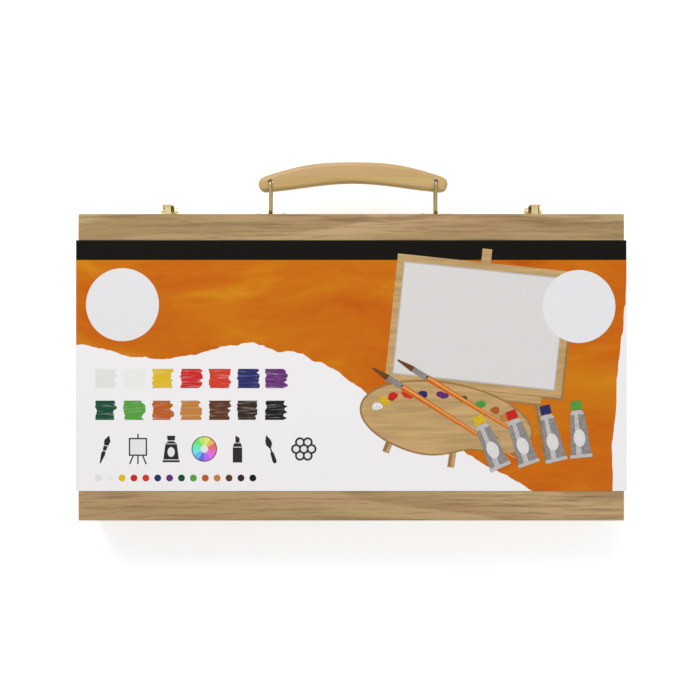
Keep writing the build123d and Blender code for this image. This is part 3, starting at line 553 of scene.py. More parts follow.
# %% Label and band on every tube
tubes_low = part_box("tube_bodies")[0]
LABEL_AT = tubes_low.y + 21 * MM
LABEL_LONG = 8.0 * MM
LABEL_WIDE = 5.2 * MM
BAND_AT = tubes_low.y + 58 * MM
BAND_HALF = 1.9 * MM
metal = Recipe("tube_metal", roughness=0.34)
tube_spot = metal.axes()
in_row = metal.maths("DIVIDE", metal.maths("SUBTRACT", tube_spot[0], ROW_START), TUBE_PITCH)
off_axis = metal.maths("SUBTRACT", metal.maths("FRACT", in_row), 0.5)
across = metal.maths("DIVIDE", metal.maths("MULTIPLY", off_axis, TUBE_PITCH), LABEL_WIDE)
along = metal.maths("DIVIDE", metal.maths("SUBTRACT", tube_spot[1], LABEL_AT), LABEL_LONG)
across_squared = metal.maths("MULTIPLY", across, across)
oval = metal.maths("MULTIPLY_ADD", along, along, across_squared)
upper_side = metal.maths("GREATER_THAN", metal.normals()[2], 0.2)
label = metal.maths("MULTIPLY", metal.maths("LESS_THAN", oval, 1.0), upper_side)
from_band = metal.maths("ABSOLUTE", metal.maths("SUBTRACT", tube_spot[1], BAND_AT))
band = metal.maths("LESS_THAN", from_band, BAND_HALF)
print("label:", 2 * LABEL_LONG / MM, "by", 2 * LABEL_WIDE / MM, "mm")

# %% Crumpled metal under the print, with painted shade in its creases
crease = metal.noise((260, 60, 260), detail=3.0, roughness=0.6, distortion=0.6)
brushed = metal.noise((30, 900, 30))
# Painted shade and highlight: the metal is darker where the crease noise sinks and paler where it
# rises, like the bump below.
metal_with_painted_crease_shade = metal.laid(screen(146, 138, 130), screen(188, 182, 175), crease, 0.35, 0.7)
metal_with_painted_crease_shade = metal.laid(metal_with_painted_crease_shade, screen(122, 114, 106), brushed, 0.4, 0.7, 0.3)
banded = metal.mix(band, metal_with_painted_crease_shade, screen(52, 46, 43))
metal.drive("Base Color", metal.mix(label, banded, screen(238, 238, 236)))
inked = metal.maths("MAXIMUM", label, band)
metal.drive("Metallic", metal.maths("SUBTRACT", 1.0, metal.maths("MULTIPLY", inked, 0.95)))
metal.drive("Roughness", metal.step(crease, 0.3, 0.8, 0.26, 0.42))
metal.bump(crease, 0.5 * MM, 0.7)
dress("tube_bodies", metal.material)
print("tubes dressed")

# %% [markdown]
# ## Brushes
# The handles are turned wood in orange lacquer, so they get a clear coat. The ferrules are
# pressed metal with two crimps, which the plain CAD cone does not have, so they are spun
# here from a profile. Hair curves would fill the tufts quickly, but they are no mesh and
# could not be handed on. So the tufts are rebuilt strand by strand: each one is a thin
# three-sided cone that swells out a little in the belly and closes in at the tip, as damp
# synthetic hair dries.

# %% Brush finishes
lacquer = Recipe("brush_lacquer", roughness=0.3)
swirl = lacquer.noise((20, 500, 500), detail=3.0)
streaked = lacquer.laid(screen(226, 118, 36), screen(208, 96, 22), swirl, 0.35, 0.7)
lacquer.drive("Base Color", streaked)
lacquer.set("Coat Weight", 0.6)
lacquer.set("Coat Roughness", 0.08)
dress("brush_handles", lacquer.material)
hair = Recipe("brush_hair", roughness=0.5)
strand_tone = hair.noise((15, 2600, 2600), detail=1.0)
hair.drive("Base Color", hair.laid(screen(92, 52, 26), screen(156, 104, 58), strand_tone, 0.3, 0.7))
ferrule_metal = plated("ferrule_metal", screen(214, 212, 208), 0.16)
print("brush finishes ready")


# %% Edge and spin helpers
def sharp_over(made, degrees):
    """Keeps edges crisp where two faces turn by more than an angle."""
    work = bmesh.new()
    work.from_mesh(made.data)
    for edge in work.edges:
        if len(edge.link_faces) == 2:
            edge.smooth = edge.calc_face_angle() < math.radians(degrees)
    work.to_mesh(made.data)
    work.free()


def spun(work, profile, steps, centre):
    """Turns an open profile of (along X, out) pairs into a closed skin about X."""
    first = [work.verts.new((along, centre[1], centre[2] + out)) for along, out in profile]
    edges = [work.edges.new(pair) for pair in zip(first, first[1:])]
    bmesh.ops.spin(
        work, geom=first + edges, cent=centre, axis=(1, 0, 0), angle=math.tau, steps=steps,
        use_merge=True,
    )
    bmesh.ops.remove_doubles(work, verts=work.verts, dist=MERGE_GAP)
    bmesh.ops.recalc_face_normals(work, faces=work.faces)


print("edge and spin helpers ready")

# %% Ferrules
MOUTH = 3.3 * MM
WAIST = 2.7 * MM
CRIMPS = (0.62, 0.80)
CRIMP_DENT = (
    (-1.1, 0), (-0.6, 0.06), (-0.25, 0.26), (0, 0.32), (0.25, 0.26), (0.6, 0.06), (1.1, 0),
)
ferrule_low, ferrule_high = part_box("brush_ferrules")
brush_height = (ferrule_low.z + ferrule_high.z) / 2
brush_lines = (ferrule_low.y + MOUTH, ferrule_high.y - MOUTH)
back, front = ferrule_low.x, ferrule_high.x
profile = [(back, 0.0), (back, WAIST - 0.1 * MM), (back + 0.3 * MM, WAIST)]
for crimp in CRIMPS:
    crimp_at = back + (front - back) * crimp
    wall = WAIST + (MOUTH - WAIST) * crimp
    profile += [(crimp_at + along * MM, wall - dip * MM) for along, dip in CRIMP_DENT]
profile += [(front - 0.2 * MM, MOUTH), (front, MOUTH - 0.15 * MM), (front, 0.0)]
ferrules = bmesh.new()
for brush_line in brush_lines:
    spun(ferrules, profile, 40, (0, brush_line, brush_height))
ferrule_piece = piece("ferrules", ferrules, [ferrule_metal], "base")
sharp_over(ferrule_piece, 50)
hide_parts("brush_ferrules")
print("ferrules:", len(brush_lines))

# %% Strands
STRANDS = 420
HAIR_RADIUS = 0.11 * MM
GOLDEN_ANGLE = math.pi * (3 - math.sqrt(5))
random.seed(14)
tuft_low, tuft_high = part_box("brush_tufts")
TUFT_LENGTH = tuft_high.x - tuft_low.x
tufts = bmesh.new()
for brush_line in brush_lines:
    for index in range(STRANDS):
        spot = math.sqrt((index + 0.5) / STRANDS)
        length = TUFT_LENGTH * (1 - 0.30 * spot ** 2) * random.uniform(0.96, 1.0)
        root = direction(index * GOLDEN_ANGLE) * spot * (WAIST - HAIR_RADIUS * 1.5)
        centre = (tuft_high.x - length / 2, brush_line + root.x, brush_height + root.y)
        lie = Matrix.Translation(centre) @ Matrix.Rotation(-math.pi / 2, 4, "Y")
        bmesh.ops.create_cone(
            tufts, segments=3, radius1=HAIR_RADIUS, radius2=HAIR_RADIUS * 0.5, depth=length,
            matrix=lie, cap_ends=False,
        )
print("strands:", STRANDS * len(brush_lines))

# %% Belly and tip
long_edges = [edge for edge in tufts.edges if edge.calc_length() > TUFT_LENGTH / 2]
bmesh.ops.subdivide_edges(tufts, edges=long_edges, cuts=4)
for vert in tufts.verts:
    out = (tuft_high.x - vert.co.x) / TUFT_LENGTH
    swell = 1 + 0.22 * math.sin(math.pi * min(out, 1.0)) - 0.80 * max(out, 0.0) ** 2.2
    own_line = min(brush_lines, key=lambda y: abs(y - vert.co.y))
    vert.co.y = own_line + (vert.co.y - own_line) * swell
    vert.co.z = brush_height + (vert.co.z - brush_height) * swell
bristles = piece("bristles", tufts, [hair.material], "base")
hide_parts("brush_tufts")
print("tuft:", round(TUFT_LENGTH / MM, 1), "mm long")

# %% [markdown]
# ## Markers, boards and colour guide
# Each marker has its own colour, and its barrel is paler than its cap, because it lets the
# paint show through. The boards are cotton canvas over card. Real threads would be millions
# of faces, so two crossed waves in the bump imitate the sets of threads that pass over and
# under each other. The colour guide is a printed disc, its hue following the angle round its
# middle.

# %% Markers
MARKER_TONES = {
    "silver": ((168, 164, 162), (178, 175, 173), 0.78),
    "white": ((234, 234, 233), (222, 222, 222), 0.84),
    "gold": ((126, 106, 38), (150, 134, 62), 0.80),
    "black": ((24, 23, 23), (88, 85, 84), 0.45),
}
for name, (cap_tone, barrel_tone, darkening) in MARKER_TONES.items():
    dress(f"marker_{name}_cap", moulded(f"marker_{name}_cap", screen(*cap_tone), 0.36))
    barrel = Recipe(f"marker_{name}_barrel", roughness=0.32)
    streaks = barrel.noise(barrel.stretched((500, 45, 500)), detail=3.0, distortion=0.4)
    darker = screen(*(int(value * darkening) for value in barrel_tone))
    barrel.drive("Base Color", barrel.laid(screen(*barrel_tone), darker, streaks, 0.4, 0.65))
    dress(f"marker_{name}_body", barrel.material)
print("markers:", len(MARKER_TONES))

# %% Canvas
THREAD_PITCH = 0.55 * MM
TURNS = math.tau / (2 * THREAD_PITCH)
canvas = Recipe("canvas", roughness=0.85)
phase = canvas.axes(canvas.stretched((TURNS, TURNS, TURNS)))
over = canvas.maths("MULTIPLY", canvas.maths("SINE", phase[0]), canvas.maths("SINE", phase[1]))
threads = canvas.maths("MULTIPLY_ADD", over, 0.5, 0.5)
lumps = canvas.maths("ADD", canvas.noise((60, 900, 900)), canvas.noise((900, 60, 900)))
cotton = canvas.laid(screen(226, 224, 221), screen(233, 231, 228), lumps, 0.7, 1.3)
canvas.drive("Base Color", cotton)
canvas.bump(canvas.maths("ADD", threads, lumps), 0.08 * MM, 0.7)
dress("canvas_boards", canvas.material)
print("threads per metre:", round(1 / THREAD_PITCH))

# %% Colour guide
SECTORS = 12
GUIDE_RIM = 6 * MM


def hue_wheel(recipe, middle):
    """A colour for each sector round a point, and the coordinates from that point."""
    centred = recipe.stretched((1, 1, 1), shift=-middle)
    angle = recipe.node("TexGradient", [centred], gradient_type="RADIAL").outputs[1]
    whole = recipe.maths("FLOOR", recipe.maths("MULTIPLY", angle, SECTORS))
    sector = recipe.maths("DIVIDE", whole, SECTORS)
    return recipe.node("CombineColor", [sector, 0.8, 0.85], mode="HSV").outputs[0], centred


guide_low, guide_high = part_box("colour_guide")
guide = Recipe("guide_card", roughness=0.5)
hue, from_middle = hue_wheel(guide, (guide_low + guide_high) / 2)
distance = guide.node("VectorMath", [from_middle], operation="LENGTH").outputs["Value"]
hue_reach = (guide_high.x - guide_low.x) / 2 - GUIDE_RIM
pale_rim = guide.maths("GREATER_THAN", distance, hue_reach)
guide.drive("Base Color", guide.mix(pale_rim, hue, screen(238, 236, 232)))
dress("colour_guide", guide.material)
print("sectors:", SECTORS)

# %% [markdown]
# ## Card sleeve
# The sleeve is one sheet of coated card folded round the case, printed on the outside only.
# Its ground is a black band along the handle side, then brushed orange paint with a pale
# area that has a torn edge. One large picture on a UV map would be the usual way. Here all
# of it follows from where a point lies on the sheet, so it stays sharp from near and goes on
# round the fold. The torn edge is a drawn curve, made ragged by a broad and a fine noise.

# %% Sheet layout
sleeve_low, sleeve_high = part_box("sleeve_lid_half")
SHEET_LEFT = sleeve_high.x
SHEET_TOP = sleeve_low.y
SHEET_LONG = sleeve_high.x - sleeve_low.x
SHEET_DEEP = sleeve_high.y - sleeve_low.y
CARD_FACE = sleeve_high.z
BLACK_BAND = 14.3 * MM


def on_sheet(right, down, lift=0.0):
    """A point on the sheet's face, in millimetres from its top left as it is read."""
    return Vector((SHEET_LEFT - right * MM, SHEET_TOP + down * MM, CARD_FACE + lift))


def print_finish(name, roughness=0.36):
    """The start of every ink and coating on the card, which has hardly any gloss."""
    recipe = Recipe(name, roughness=roughness)
    recipe.set("Specular IOR Level", 0.08)
    return recipe


print("sheet:", round(SHEET_LONG / MM), "by", round(SHEET_DEEP / MM), "mm")

# %% Coordinates on the sheet
card = print_finish("sleeve_card", 0.38)
sheet_spot = card.axes()
from_left = card.maths("SUBTRACT", SHEET_LEFT, sheet_spot[0])
from_right = card.maths("ADD", sheet_spot[0], SHEET_LEFT)
from_top = card.maths("SUBTRACT", sheet_spot[1], SHEET_TOP)
share_down = card.maths("DIVIDE", from_top, SHEET_DEEP)


def sheet_at(scale, degrees=0.0):
    """Coordinates for noise, which start at the top face and go on down the sides."""
    turn = (0, 0, math.radians(degrees))
    return card.stretched(scale, shift=(0, 0, -CARD_FACE * scale[2]), turn=turn)


print("the face of the card is at", round(CARD_FACE / MM, 1), "mm")


# %% Edge helpers
def swing(noise, width):
    """A noise from 0 to 1, turned into a distance to either side."""
    return card.maths("MULTIPLY", card.maths("SUBTRACT", noise, 0.5), width)


def curve_through(recipe, value, points):
    """A smooth curve through points whose coordinates run from 0 to 1."""
    made = recipe.node("FloatCurve", [1.0, value])
    curve = made.mapping.curves[0]
    curve.points[0].location = points[0]
    curve.points[1].location = points[-1]
    for location in points[1:-1]:
        curve.points.new(*location)
    made.mapping.update()
    return made.outputs[0]


print("edge helpers ready")

# %% Torn edge
TORN_EDGE = (
    (0, 76), (32, 83), (66, 84), (104, 78), (140, 76), (172, 86), (205, 108),
    (238, 128), (268, 142), (296, 160), (322, 176), (345, 190),
)
EDGE_DEPTH = 200.0
SHEET_SPAN = SHEET_LONG / MM
torn_points = [(x / SHEET_SPAN, y / EDGE_DEPTH) for x, y in TORN_EDGE] + [(1.0, 1.0)]
share_right = card.maths("DIVIDE", from_left, SHEET_LONG)
drawn_edge = curve_through(card, share_right, torn_points)
drawn_edge = card.maths("MULTIPLY", drawn_edge, EDGE_DEPTH * MM)
ragged = swing(card.noise(sheet_at((26, 26, 26)), detail=3.0, roughness=0.55), 16 * MM)
nicks = swing(card.noise(sheet_at((240, 150, 240))), 1.6 * MM)
torn = card.maths("ADD", drawn_edge, card.maths("ADD", ragged, nicks))
pale_area = card.maths("GREATER_THAN", card.maths("SUBTRACT", from_top, torn), 0.0)
print("torn edge points:", len(torn_points))

# %% [markdown]
# ## Brushed paint
# The orange ground was brushed on, so it has broad light and dark places, strokes that bend,
# and hair lines inside the strokes. All three are noises on the same bent coordinates, each
# more or less drawn out, because strokes and hair lines turn together. At the far end the
# brush ran dry, and long flecks of card show through.

# %% Brush strokes
sway = card.noise(sheet_at((6, 6, 6)), detail=1.0)
sideways = card.node("CombineXYZ", [0.0, card.maths("MULTIPLY", sway, 3.0), 0.0]).outputs[0]
sweep = sheet_at((11, 42, 22), 13)
bent = card.node("VectorMath", [sweep, sideways], operation="ADD").outputs[0]
strokes = card.noise(bent, detail=5.0, roughness=0.6)
hair_lines = card.noise(card.stretched((1.5, 8, 1), source=bent), detail=3.0)
broad = card.noise(card.stretched((0.4, 0.25, 1), shift=(3, 1, 0), source=bent))
orange = card.ramp(strokes, [
    (0.30, screen(188, 84, 12)),
    (0.44, screen(203, 102, 16)),
    (0.56, screen(207, 112, 18)),
    (0.72, screen(216, 140, 26)),
])
orange = card.laid(orange, screen(212, 134, 22), broad, 0.50, 0.72, 0.6)
orange = card.mix(card.step(broad, 0.28, 0.46, 0.5, 0.0), orange, screen(196, 88, 16))
orange = card.laid(orange, screen(222, 142, 44), hair_lines, 0.55, 0.8, 0.25)
print("strokes ready")

# %% Dry end and black band
dry = swing(card.noise(sheet_at((150, 16, 64), -28), roughness=0.45), 38 * MM)
dry_reach = card.maths("ADD", dry, card.step(share_down, 0.10, 0.70, -5 * MM, 9 * MM))
flecks = card.maths("LESS_THAN", card.maths("SUBTRACT", from_right, nicks), dry_reach)
paper = screen(246, 244, 245)
ground = card.mix(card.maths("MAXIMUM", pale_area, flecks), orange, paper)
black_part = card.maths("LESS_THAN", share_down, BLACK_BAND / SHEET_DEEP)
ground = card.mix(black_part, ground, screen(14, 12, 9))
print("black band:", BLACK_BAND / MM, "mm")

# %% [markdown]
# ## Print outside, raw board inside
# The inside and the cut edges of the card stay grey board. The faces could be sorted by
# hand, but the shader can tell them apart by itself: a face is printed where its normal
# points away from the middle of the band.

# %% Outside and inside
facing = card.normals()
over_middle = card.maths("SUBTRACT", sheet_spot[2], CARD_FACE / 2)
outwards_side = card.maths("MULTIPLY", facing[0], sheet_spot[0])
outwards_up = card.maths("MULTIPLY", facing[2], over_middle)
outwards = card.maths("ADD", outwards_side, outwards_up)
outside = card.maths("GREATER_THAN", outwards, 0.5 * MM)
pulp = card.noise((900, 900, 900), detail=3.0)
raw_board = card.laid(screen(196, 190, 178), screen(214, 209, 198), pulp, 0.35, 0.65)
card.drive("Base Color", card.mix(outside, raw_board, ground))
card.drive("Roughness", card.maths("SUBTRACT", 0.75, card.maths("MULTIPLY", outside, 0.40)))
card.bump(pulp, 0.02 * MM, 0.4)
for name in ("sleeve_lid_half", "sleeve_base_half"):
    dress(name, card.material)
print("sleeve printed")

# %% [markdown]
# ## Printed shapes on the sleeve
# Discs, signs and the picture are flat inks with crisp outlines. In the card's own material
# each outline would take many nodes, so each ink is a thin mesh just above the card instead.
# Layers that overlap are printed one over the other, as in a real press, each a little
# higher than the last. The top one is less than a third of a millimetre up.

# %% Ink helpers
INK = 0.01 * MM


def inked_faces(faces, material):
    """Gives flat faces their ink and turns them to the reader."""
    for face in faces:
        face.material_index = material
        face.normal_update()
        if face.normal.z < 0:
            face.normal_flip()


def ink_disc(work, right, down, radius, layer, stretch=1.0, turn=0.0, material=0, segments=48):
    """A round or oval spot of ink."""
    lie = (
        Matrix.Translation(on_sheet(right, down, layer * INK))
        @ Matrix.Rotation(turn, 4, "Z")
        @ Matrix.Diagonal((1, stretch, 1, 1))
    )
    made = bmesh.ops.create_circle(
        work, cap_ends=True, segments=segments, radius=radius * MM, matrix=lie,
    )
    inked_faces(made["verts"][0].link_faces, material)


def ink_shape(work, corners, layer, material=0):
    """A flat shape between corners given in millimetres on the sheet."""
    verts = [work.verts.new(on_sheet(x, y, layer * INK)) for x, y in corners]
    inked_faces([work.faces.new(verts)], material)


print("one layer of ink:", INK / MM, "mm")


# %% Bars and moved shapes
def ink_bar(work, start, end, width, layer, material=0, taper=1.0):
    """A straight stroke of ink, which may narrow towards its end."""
    start, end = Vector(start), Vector(end)
    along = end - start
    side = Vector((-along.y, along.x)).normalized() * width / 2
    corners = [start + side, end + side * taper, end - side * taper, start - side]
    ink_shape(work, corners, layer, material)


def moved(corners, right, down, turn=0.0):
    """Corners turned and moved to a place on the sheet."""
    cos = math.cos(turn)
    sin = math.sin(turn)
    return [(right + x * cos - y * sin, down + x * sin + y * cos) for x, y in corners]


print("bars and moves ready")


# %% Ink pieces and inks
def ink_piece(name, work, materials):
    """Gives the inks their thickness and puts them on the sleeve."""
    made = bmesh.ops.extrude_face_region(work, geom=list(work.faces), use_keep_orig=True)
    lifted = [item for item in made["geom"] if isinstance(item, bmesh.types.BMVert)]
    bmesh.ops.translate(work, verts=lifted, vec=(0, 0, INK))
    bmesh.ops.recalc_face_normals(work, faces=work.faces)
    piece(name, work, materials, "sleeve_top", smooth=False)


def ink(name, tone, variation=0.06, grain=(420, 420, 420), lean=0.0):
    """Flat ink with the slight mottling of offset print, or with a drawn grain."""
    recipe = print_finish(name)
    speck = recipe.noise(recipe.stretched(grain, turn=(0, 0, lean)), detail=3.0)
    darker = screen(*(value * (1 - variation) for value in tone))
    recipe.drive("Base Color", recipe.laid(screen(*tone), darker, speck, 0.3, 0.7))
    return recipe.material


white_ink = ink("white_ink", (237, 236, 238), 0.012)
dark_ink = ink("dark_ink", (48, 46, 46))
print("inks:", white_ink.name, dark_ink.name)

# %% Two white discs
DISC_RADIUS = 26.4
DISCS = {"left": (33.8, 46.6, 1), "right": (364.0, 47.9, 12)}
for side, (right, down, layer) in DISCS.items():
    disc = bmesh.new()
    ink_disc(disc, right, down, DISC_RADIUS, layer, segments=128)
    ink_piece("sleeve_disc_" + side, disc, [white_ink])
print("disc radius:", DISC_RADIUS, "mm")

# %% [markdown]
# ## Colour patches, signs and dots
# The pale area shows what is in the box: a stroke of each paint, a row of signs for the
# tools, and a dot for each colour again. The strokes have dry, ragged ends, so their
# outlines are a few corners pushed about by a seeded random number. Drawing them by hand
# would take longer and look no better. The signs are drawn corner by corner, because each
# has to be known at a glance.

# %% Brushed patches of colour
PATCH_ROWS = ((100.0, PAINTS[:7]), (123.0, PAINTS[7:]))
PATCH_START, PATCH_PITCH, PATCH_LONG, PATCH_TALL = 12.0, 20.5, 17.0, 14.0
PATCH_STEPS = 10
random.seed(7)
for number, (row_down, colours) in enumerate(PATCH_ROWS):
    stroke = print_finish(f"patch_ink_{number}", 0.34)
    row_end = on_sheet(PATCH_START + PATCH_PITCH * len(colours), 0).x
    tone = row_colour(stroke, colours[::-1], row_end, PATCH_PITCH * MM)
    brush_marks = stroke.noise((60, 900, 1), detail=3.0, roughness=0.6)
    lighter = stroke.mix(0.35, tone, screen(255, 255, 255))
    stroke.drive("Base Color", stroke.laid(tone, lighter, brush_marks, 0.5, 0.8))
    patches = bmesh.new()
    top = row_down - PATCH_TALL / 2
    rows = [top + PATCH_TALL * step / PATCH_STEPS for step in range(PATCH_STEPS + 1)]
    for index in range(len(colours)):
        left_end = PATCH_START + PATCH_PITCH * index + (PATCH_PITCH - PATCH_LONG) / 2
        left_side = [(left_end + random.uniform(0.0, 1.5), y) for y in rows]
        right_side = [(left_end + PATCH_LONG - random.uniform(0.0, 3.8), y) for y in rows]
        ink_shape(patches, left_side + right_side[::-1], 1)
    ink_piece(f"sleeve_patches_{number}", patches, [stroke.material])
print("patches:", len(PAINTS))

# %% Colour dots
DOT_START, DOT_PITCH, DOT_DOWN, DOT_RADIUS = 12.0, 8.6, 172.0, 2.5
dots = bmesh.new()
for index in range(len(PAINTS)):
    dot_at = DOT_START + DOT_PITCH * (index + 0.5)
    ink_disc(dots, dot_at, DOT_DOWN, DOT_RADIUS, 1, segments=32)
dot_ink = print_finish("dot_ink")
dots_end = on_sheet(DOT_START + DOT_PITCH * len(PAINTS), 0).x
dot_ink.drive("Base Color", row_colour(dot_ink, PAINTS[::-1], dots_end, DOT_PITCH * MM))
ink_piece("sleeve_dots", dots, [dot_ink.material])
print("dots:", len(PAINTS))

# %% Signs with straight edges
SIGN_NAMES = ("brush", "board", "tube", "wheel", "marker", "knife", "palette")
SIGN_START, SIGN_PITCH, SIGN_DOWN = 21.0, 24.0, 151.0
SIGN_LEAN = math.radians(18)
DARK, WHITE, HUES = range(3)
sign_at = {name: SIGN_START + SIGN_PITCH * index for index, name in enumerate(SIGN_NAMES)}
SIGN_SHAPES = (
    ("tube", 0.0, (
        ((-4.2, -3.5), (4.2, -3.5), (5.6, 7.6), (-5.6, 7.6)),
        ((-1.9, -5.6), (1.9, -5.6), (4.2, -3.9), (-4.2, -3.9)),
        ((-3.0, -9.6), (3.0, -9.6), (2.6, -6.1), (-2.6, -6.1)),
        ((-6.2, 8.1), (6.2, 8.1), (6.2, 9.6), (-6.2, 9.6)),
    )),
    ("brush", SIGN_LEAN, (
        ((0, -10.4), (2.3, -6.2), (1.6, -2.8), (-1.6, -2.8), (-2.3, -6.2)),
        ((-1.5, -2.3), (1.5, -2.3), (1.2, 1.2), (-1.2, 1.2)),
        ((-1.2, 1.7), (1.2, 1.7), (1.5, 4.0), (0.35, 11.0), (-0.35, 11.0), (-1.5, 4.0)),
    )),
    ("marker", 0.0, (
        ((-1.5, -9.8), (1.5, -8.0), (1.5, -4.6), (-1.5, -4.6)),
        ((-2.4, -4.2), (2.4, -4.2), (3.4, -1.6), (-3.4, -1.6)),
        ((-3.4, -1.1), (3.4, -1.1), (3.4, 9.8), (-3.4, 9.8)),
    )),
    ("knife", -SIGN_LEAN, (
        ((0, -10.6), (2.0, -6.4), (2.3, -3.6), (0.6, -0.6), (-0.6, -0.6), (-2.3, -3.6), (-2.0, -6.4)),
        ((-0.5, -0.6), (0.5, -0.6), (0.5, 2.6), (-0.5, 2.6)),
        ((-1.2, 2.6), (1.2, 2.6), (1.5, 9.6), (0.8, 10.8), (-0.8, 10.8), (-1.5, 9.6)),
    )),
)
signs = bmesh.new()
for name, lean, shapes in SIGN_SHAPES:
    for corners in shapes:
        ink_shape(signs, moved(corners, sign_at[name], SIGN_DOWN, turn=lean), 1, DARK)
ink_disc(signs, sign_at["tube"], SIGN_DOWN + 2.2, 2.6, 3, stretch=1.35, material=WHITE)
print("signs so far:", len(SIGN_SHAPES))

# %% Board and palette signs
BOARD_BARS = (((-3.5, 5.0), (-6.0, 11.0)), ((3.5, 5.0), (6.0, 11.0)), ((0, -11.0), (0, 11.0)))
for bar in BOARD_BARS:
    ink_bar(signs, *moved(bar, sign_at["board"], SIGN_DOWN), 1.0, 1, DARK)
outer = ((-6.6, -8.0), (6.6, -8.0), (6.6, 5.0), (-6.6, 5.0))
inner = ((-5.6, -7.0), (5.6, -7.0), (5.6, 4.0), (-5.6, 4.0))
ink_shape(signs, moved(outer, sign_at["board"], SIGN_DOWN), 3, DARK)
ink_shape(signs, moved(inner, sign_at["board"], SIGN_DOWN), 5, WHITE)
for petal in range(PETALS):
    petal_at = direction(math.tau * petal / PETALS) * 5.6 + Vector((sign_at["palette"], SIGN_DOWN))
    ink_disc(signs, *petal_at, 3.6, 1 + petal % 2)
    ink_disc(signs, *petal_at, 2.2, 4, material=WHITE, segments=32)
ink_disc(signs, sign_at["palette"], SIGN_DOWN, 4.4, 3)
ink_disc(signs, sign_at["palette"], SIGN_DOWN, 2.2, 5, material=WHITE, segments=32)
print("bars of the board:", len(BOARD_BARS))

# %% Colour wheel sign
wheel_ink = print_finish("wheel_ink")
wheel_hue = hue_wheel(wheel_ink, on_sheet(sign_at["wheel"], SIGN_DOWN))[0]
wheel_ink.drive("Base Color", wheel_hue)
ink_disc(signs, sign_at["wheel"], SIGN_DOWN, 9.2, 1, segments=72)
ink_disc(signs, sign_at["wheel"], SIGN_DOWN, 8.6, 3, material=HUES, segments=72)
ink_disc(signs, sign_at["wheel"], SIGN_DOWN, 2.8, 5, material=WHITE, segments=32)
ink_piece("sleeve_signs", signs, [dark_ink, white_ink, wheel_ink.material])
print("signs:", len(SIGN_NAMES))

# %% [markdown]
# ## The picture on the sleeve
# The right half of the sleeve carries a picture of painting things: a blank canvas on a
# small easel, a wooden palette with dabs of paint, two brushes and a few tubes. A render of
# real models would be richer, but flat print suits flat shapes. So it is drawn with the same
# inks, the farthest things first and each nearer thing a layer higher, and a paler or darker
# strip beside an edge gives it a side.

# %% Picture inks
DRAWN_GRAIN = (22, 260, 1)
GRAIN_LEAN = math.radians(-10)
tan = ink("tan_ink", (208, 172, 118), 0.13, DRAWN_GRAIN, GRAIN_LEAN)
tan_dark = ink("tan_dark_ink", (168, 128, 80), 0.10, DRAWN_GRAIN, GRAIN_LEAN)
cloth = ink("cloth_ink", (226, 223, 221), 0.015)
shade = ink("shade_ink", (196, 192, 190), 0.03)
steel = ink("steel_ink", (152, 147, 144), 0.12)
steel_light = ink("steel_light_ink", (198, 195, 193), 0.06)
hair_ink = ink("hair_ink", (112, 70, 40), 0.1)
handle_ink = ink("brush_ink", (214, 112, 34), 0.06)
gleam = ink("brush_gleam", (240, 168, 96), 0.02)
print("the picture's grain leans by", round(math.degrees(GRAIN_LEAN)), "degrees")

# %% Easel
EASEL_AT = (292.0, 62.0)
EASEL_TURN = math.radians(6)
TAN, TAN_DARK, CLOTH, SHADE = range(4)


def on_easel(corners):
    """Corners in the easel's own place and lean, moved to the sheet."""
    return moved(corners, *EASEL_AT, turn=EASEL_TURN)


easel = bmesh.new()
for foot_x, foot_y in ((-58, 98), (-10, 104), (60, 94)):
    hip_x = foot_x * 0.35
    ink_bar(easel, *on_easel([(hip_x, -40), (foot_x, foot_y)]), 5.0, 1, TAN_DARK)
    ink_bar(easel, *on_easel([(hip_x + 1.0, -40), (foot_x + 1.2, foot_y)]), 2.2, 2, TAN)
ink_bar(easel, *on_easel([(0, -56), (0, 60)]), 7.0, 3, TAN)
ledge = on_easel([(-50, 49.5), (50, 49.5)])
ink_bar(easel, *ledge, 6.0, 9, TAN)
ink_bar(easel, *[(x, y + 2.6) for x, y in ledge], 1.6, 10, TAN_DARK)
print("legs, mast and ledge drawn")

# %% Canvas on the easel
CANVAS = ((-64, -46), (64, -46), (64, 46), (-64, 46))


def slab(work, corners, rim, layer, outer_ink, inner_ink):
    """A board with a rim: an outer shape, and a smaller one on top of it."""
    ink_shape(work, on_easel(corners), layer, outer_ink)
    inside = [(x - math.copysign(rim, x), y - math.copysign(rim, y)) for x, y in corners]
    ink_shape(work, on_easel(inside), layer + 1, inner_ink)


lower_side = [(x + (1.6 if x > 0 else 0), y + 1.6) for x, y in CANVAS]
face = [(x * 0.91, y * 0.87) for x, y in CANVAS]
slab(easel, lower_side, 1.0, 3, TAN_DARK, TAN_DARK)
slab(easel, CANVAS, 5.0, 5, TAN, SHADE)
slab(easel, face, 1.2, 7, CLOTH, CLOTH)
ink_piece("sleeve_easel", easel, [tan, tan_dark, cloth, shade])
print("canvas drawn")

# %% Palette
PALETTE_AT = (268.0, 131.0)
PALETTE_TURN = math.radians(10)
PALETTE_WIDE = 62.0
PALETTE_TALL = 27.0


def on_palette(x, y):
    """A point in the palette's own place and lean, moved to the sheet."""
    return moved([(x, y)], *PALETTE_AT, turn=PALETTE_TURN)[0]


def kidney(work, grow, layer, material):
    """The palette's outline: an oval with a dent beside the thumb hole."""
    made = bmesh.ops.create_circle(work, cap_ends=True, segments=96, radius=1.0)
    for vert in made["verts"]:
        angle = math.atan2(vert.co.y, vert.co.x)
        dent = 0.34 * math.exp(-((angle - 1.15) / 0.42) ** 2)
        across = math.cos(angle) * (PALETTE_WIDE + grow) * (1 - dent * 0.4)
        deep = math.sin(angle) * (PALETTE_TALL + grow) * (1 - dent)
        vert.co = on_sheet(*on_palette(across, deep), layer * INK)
    inked_faces(made["verts"][0].link_faces, material)


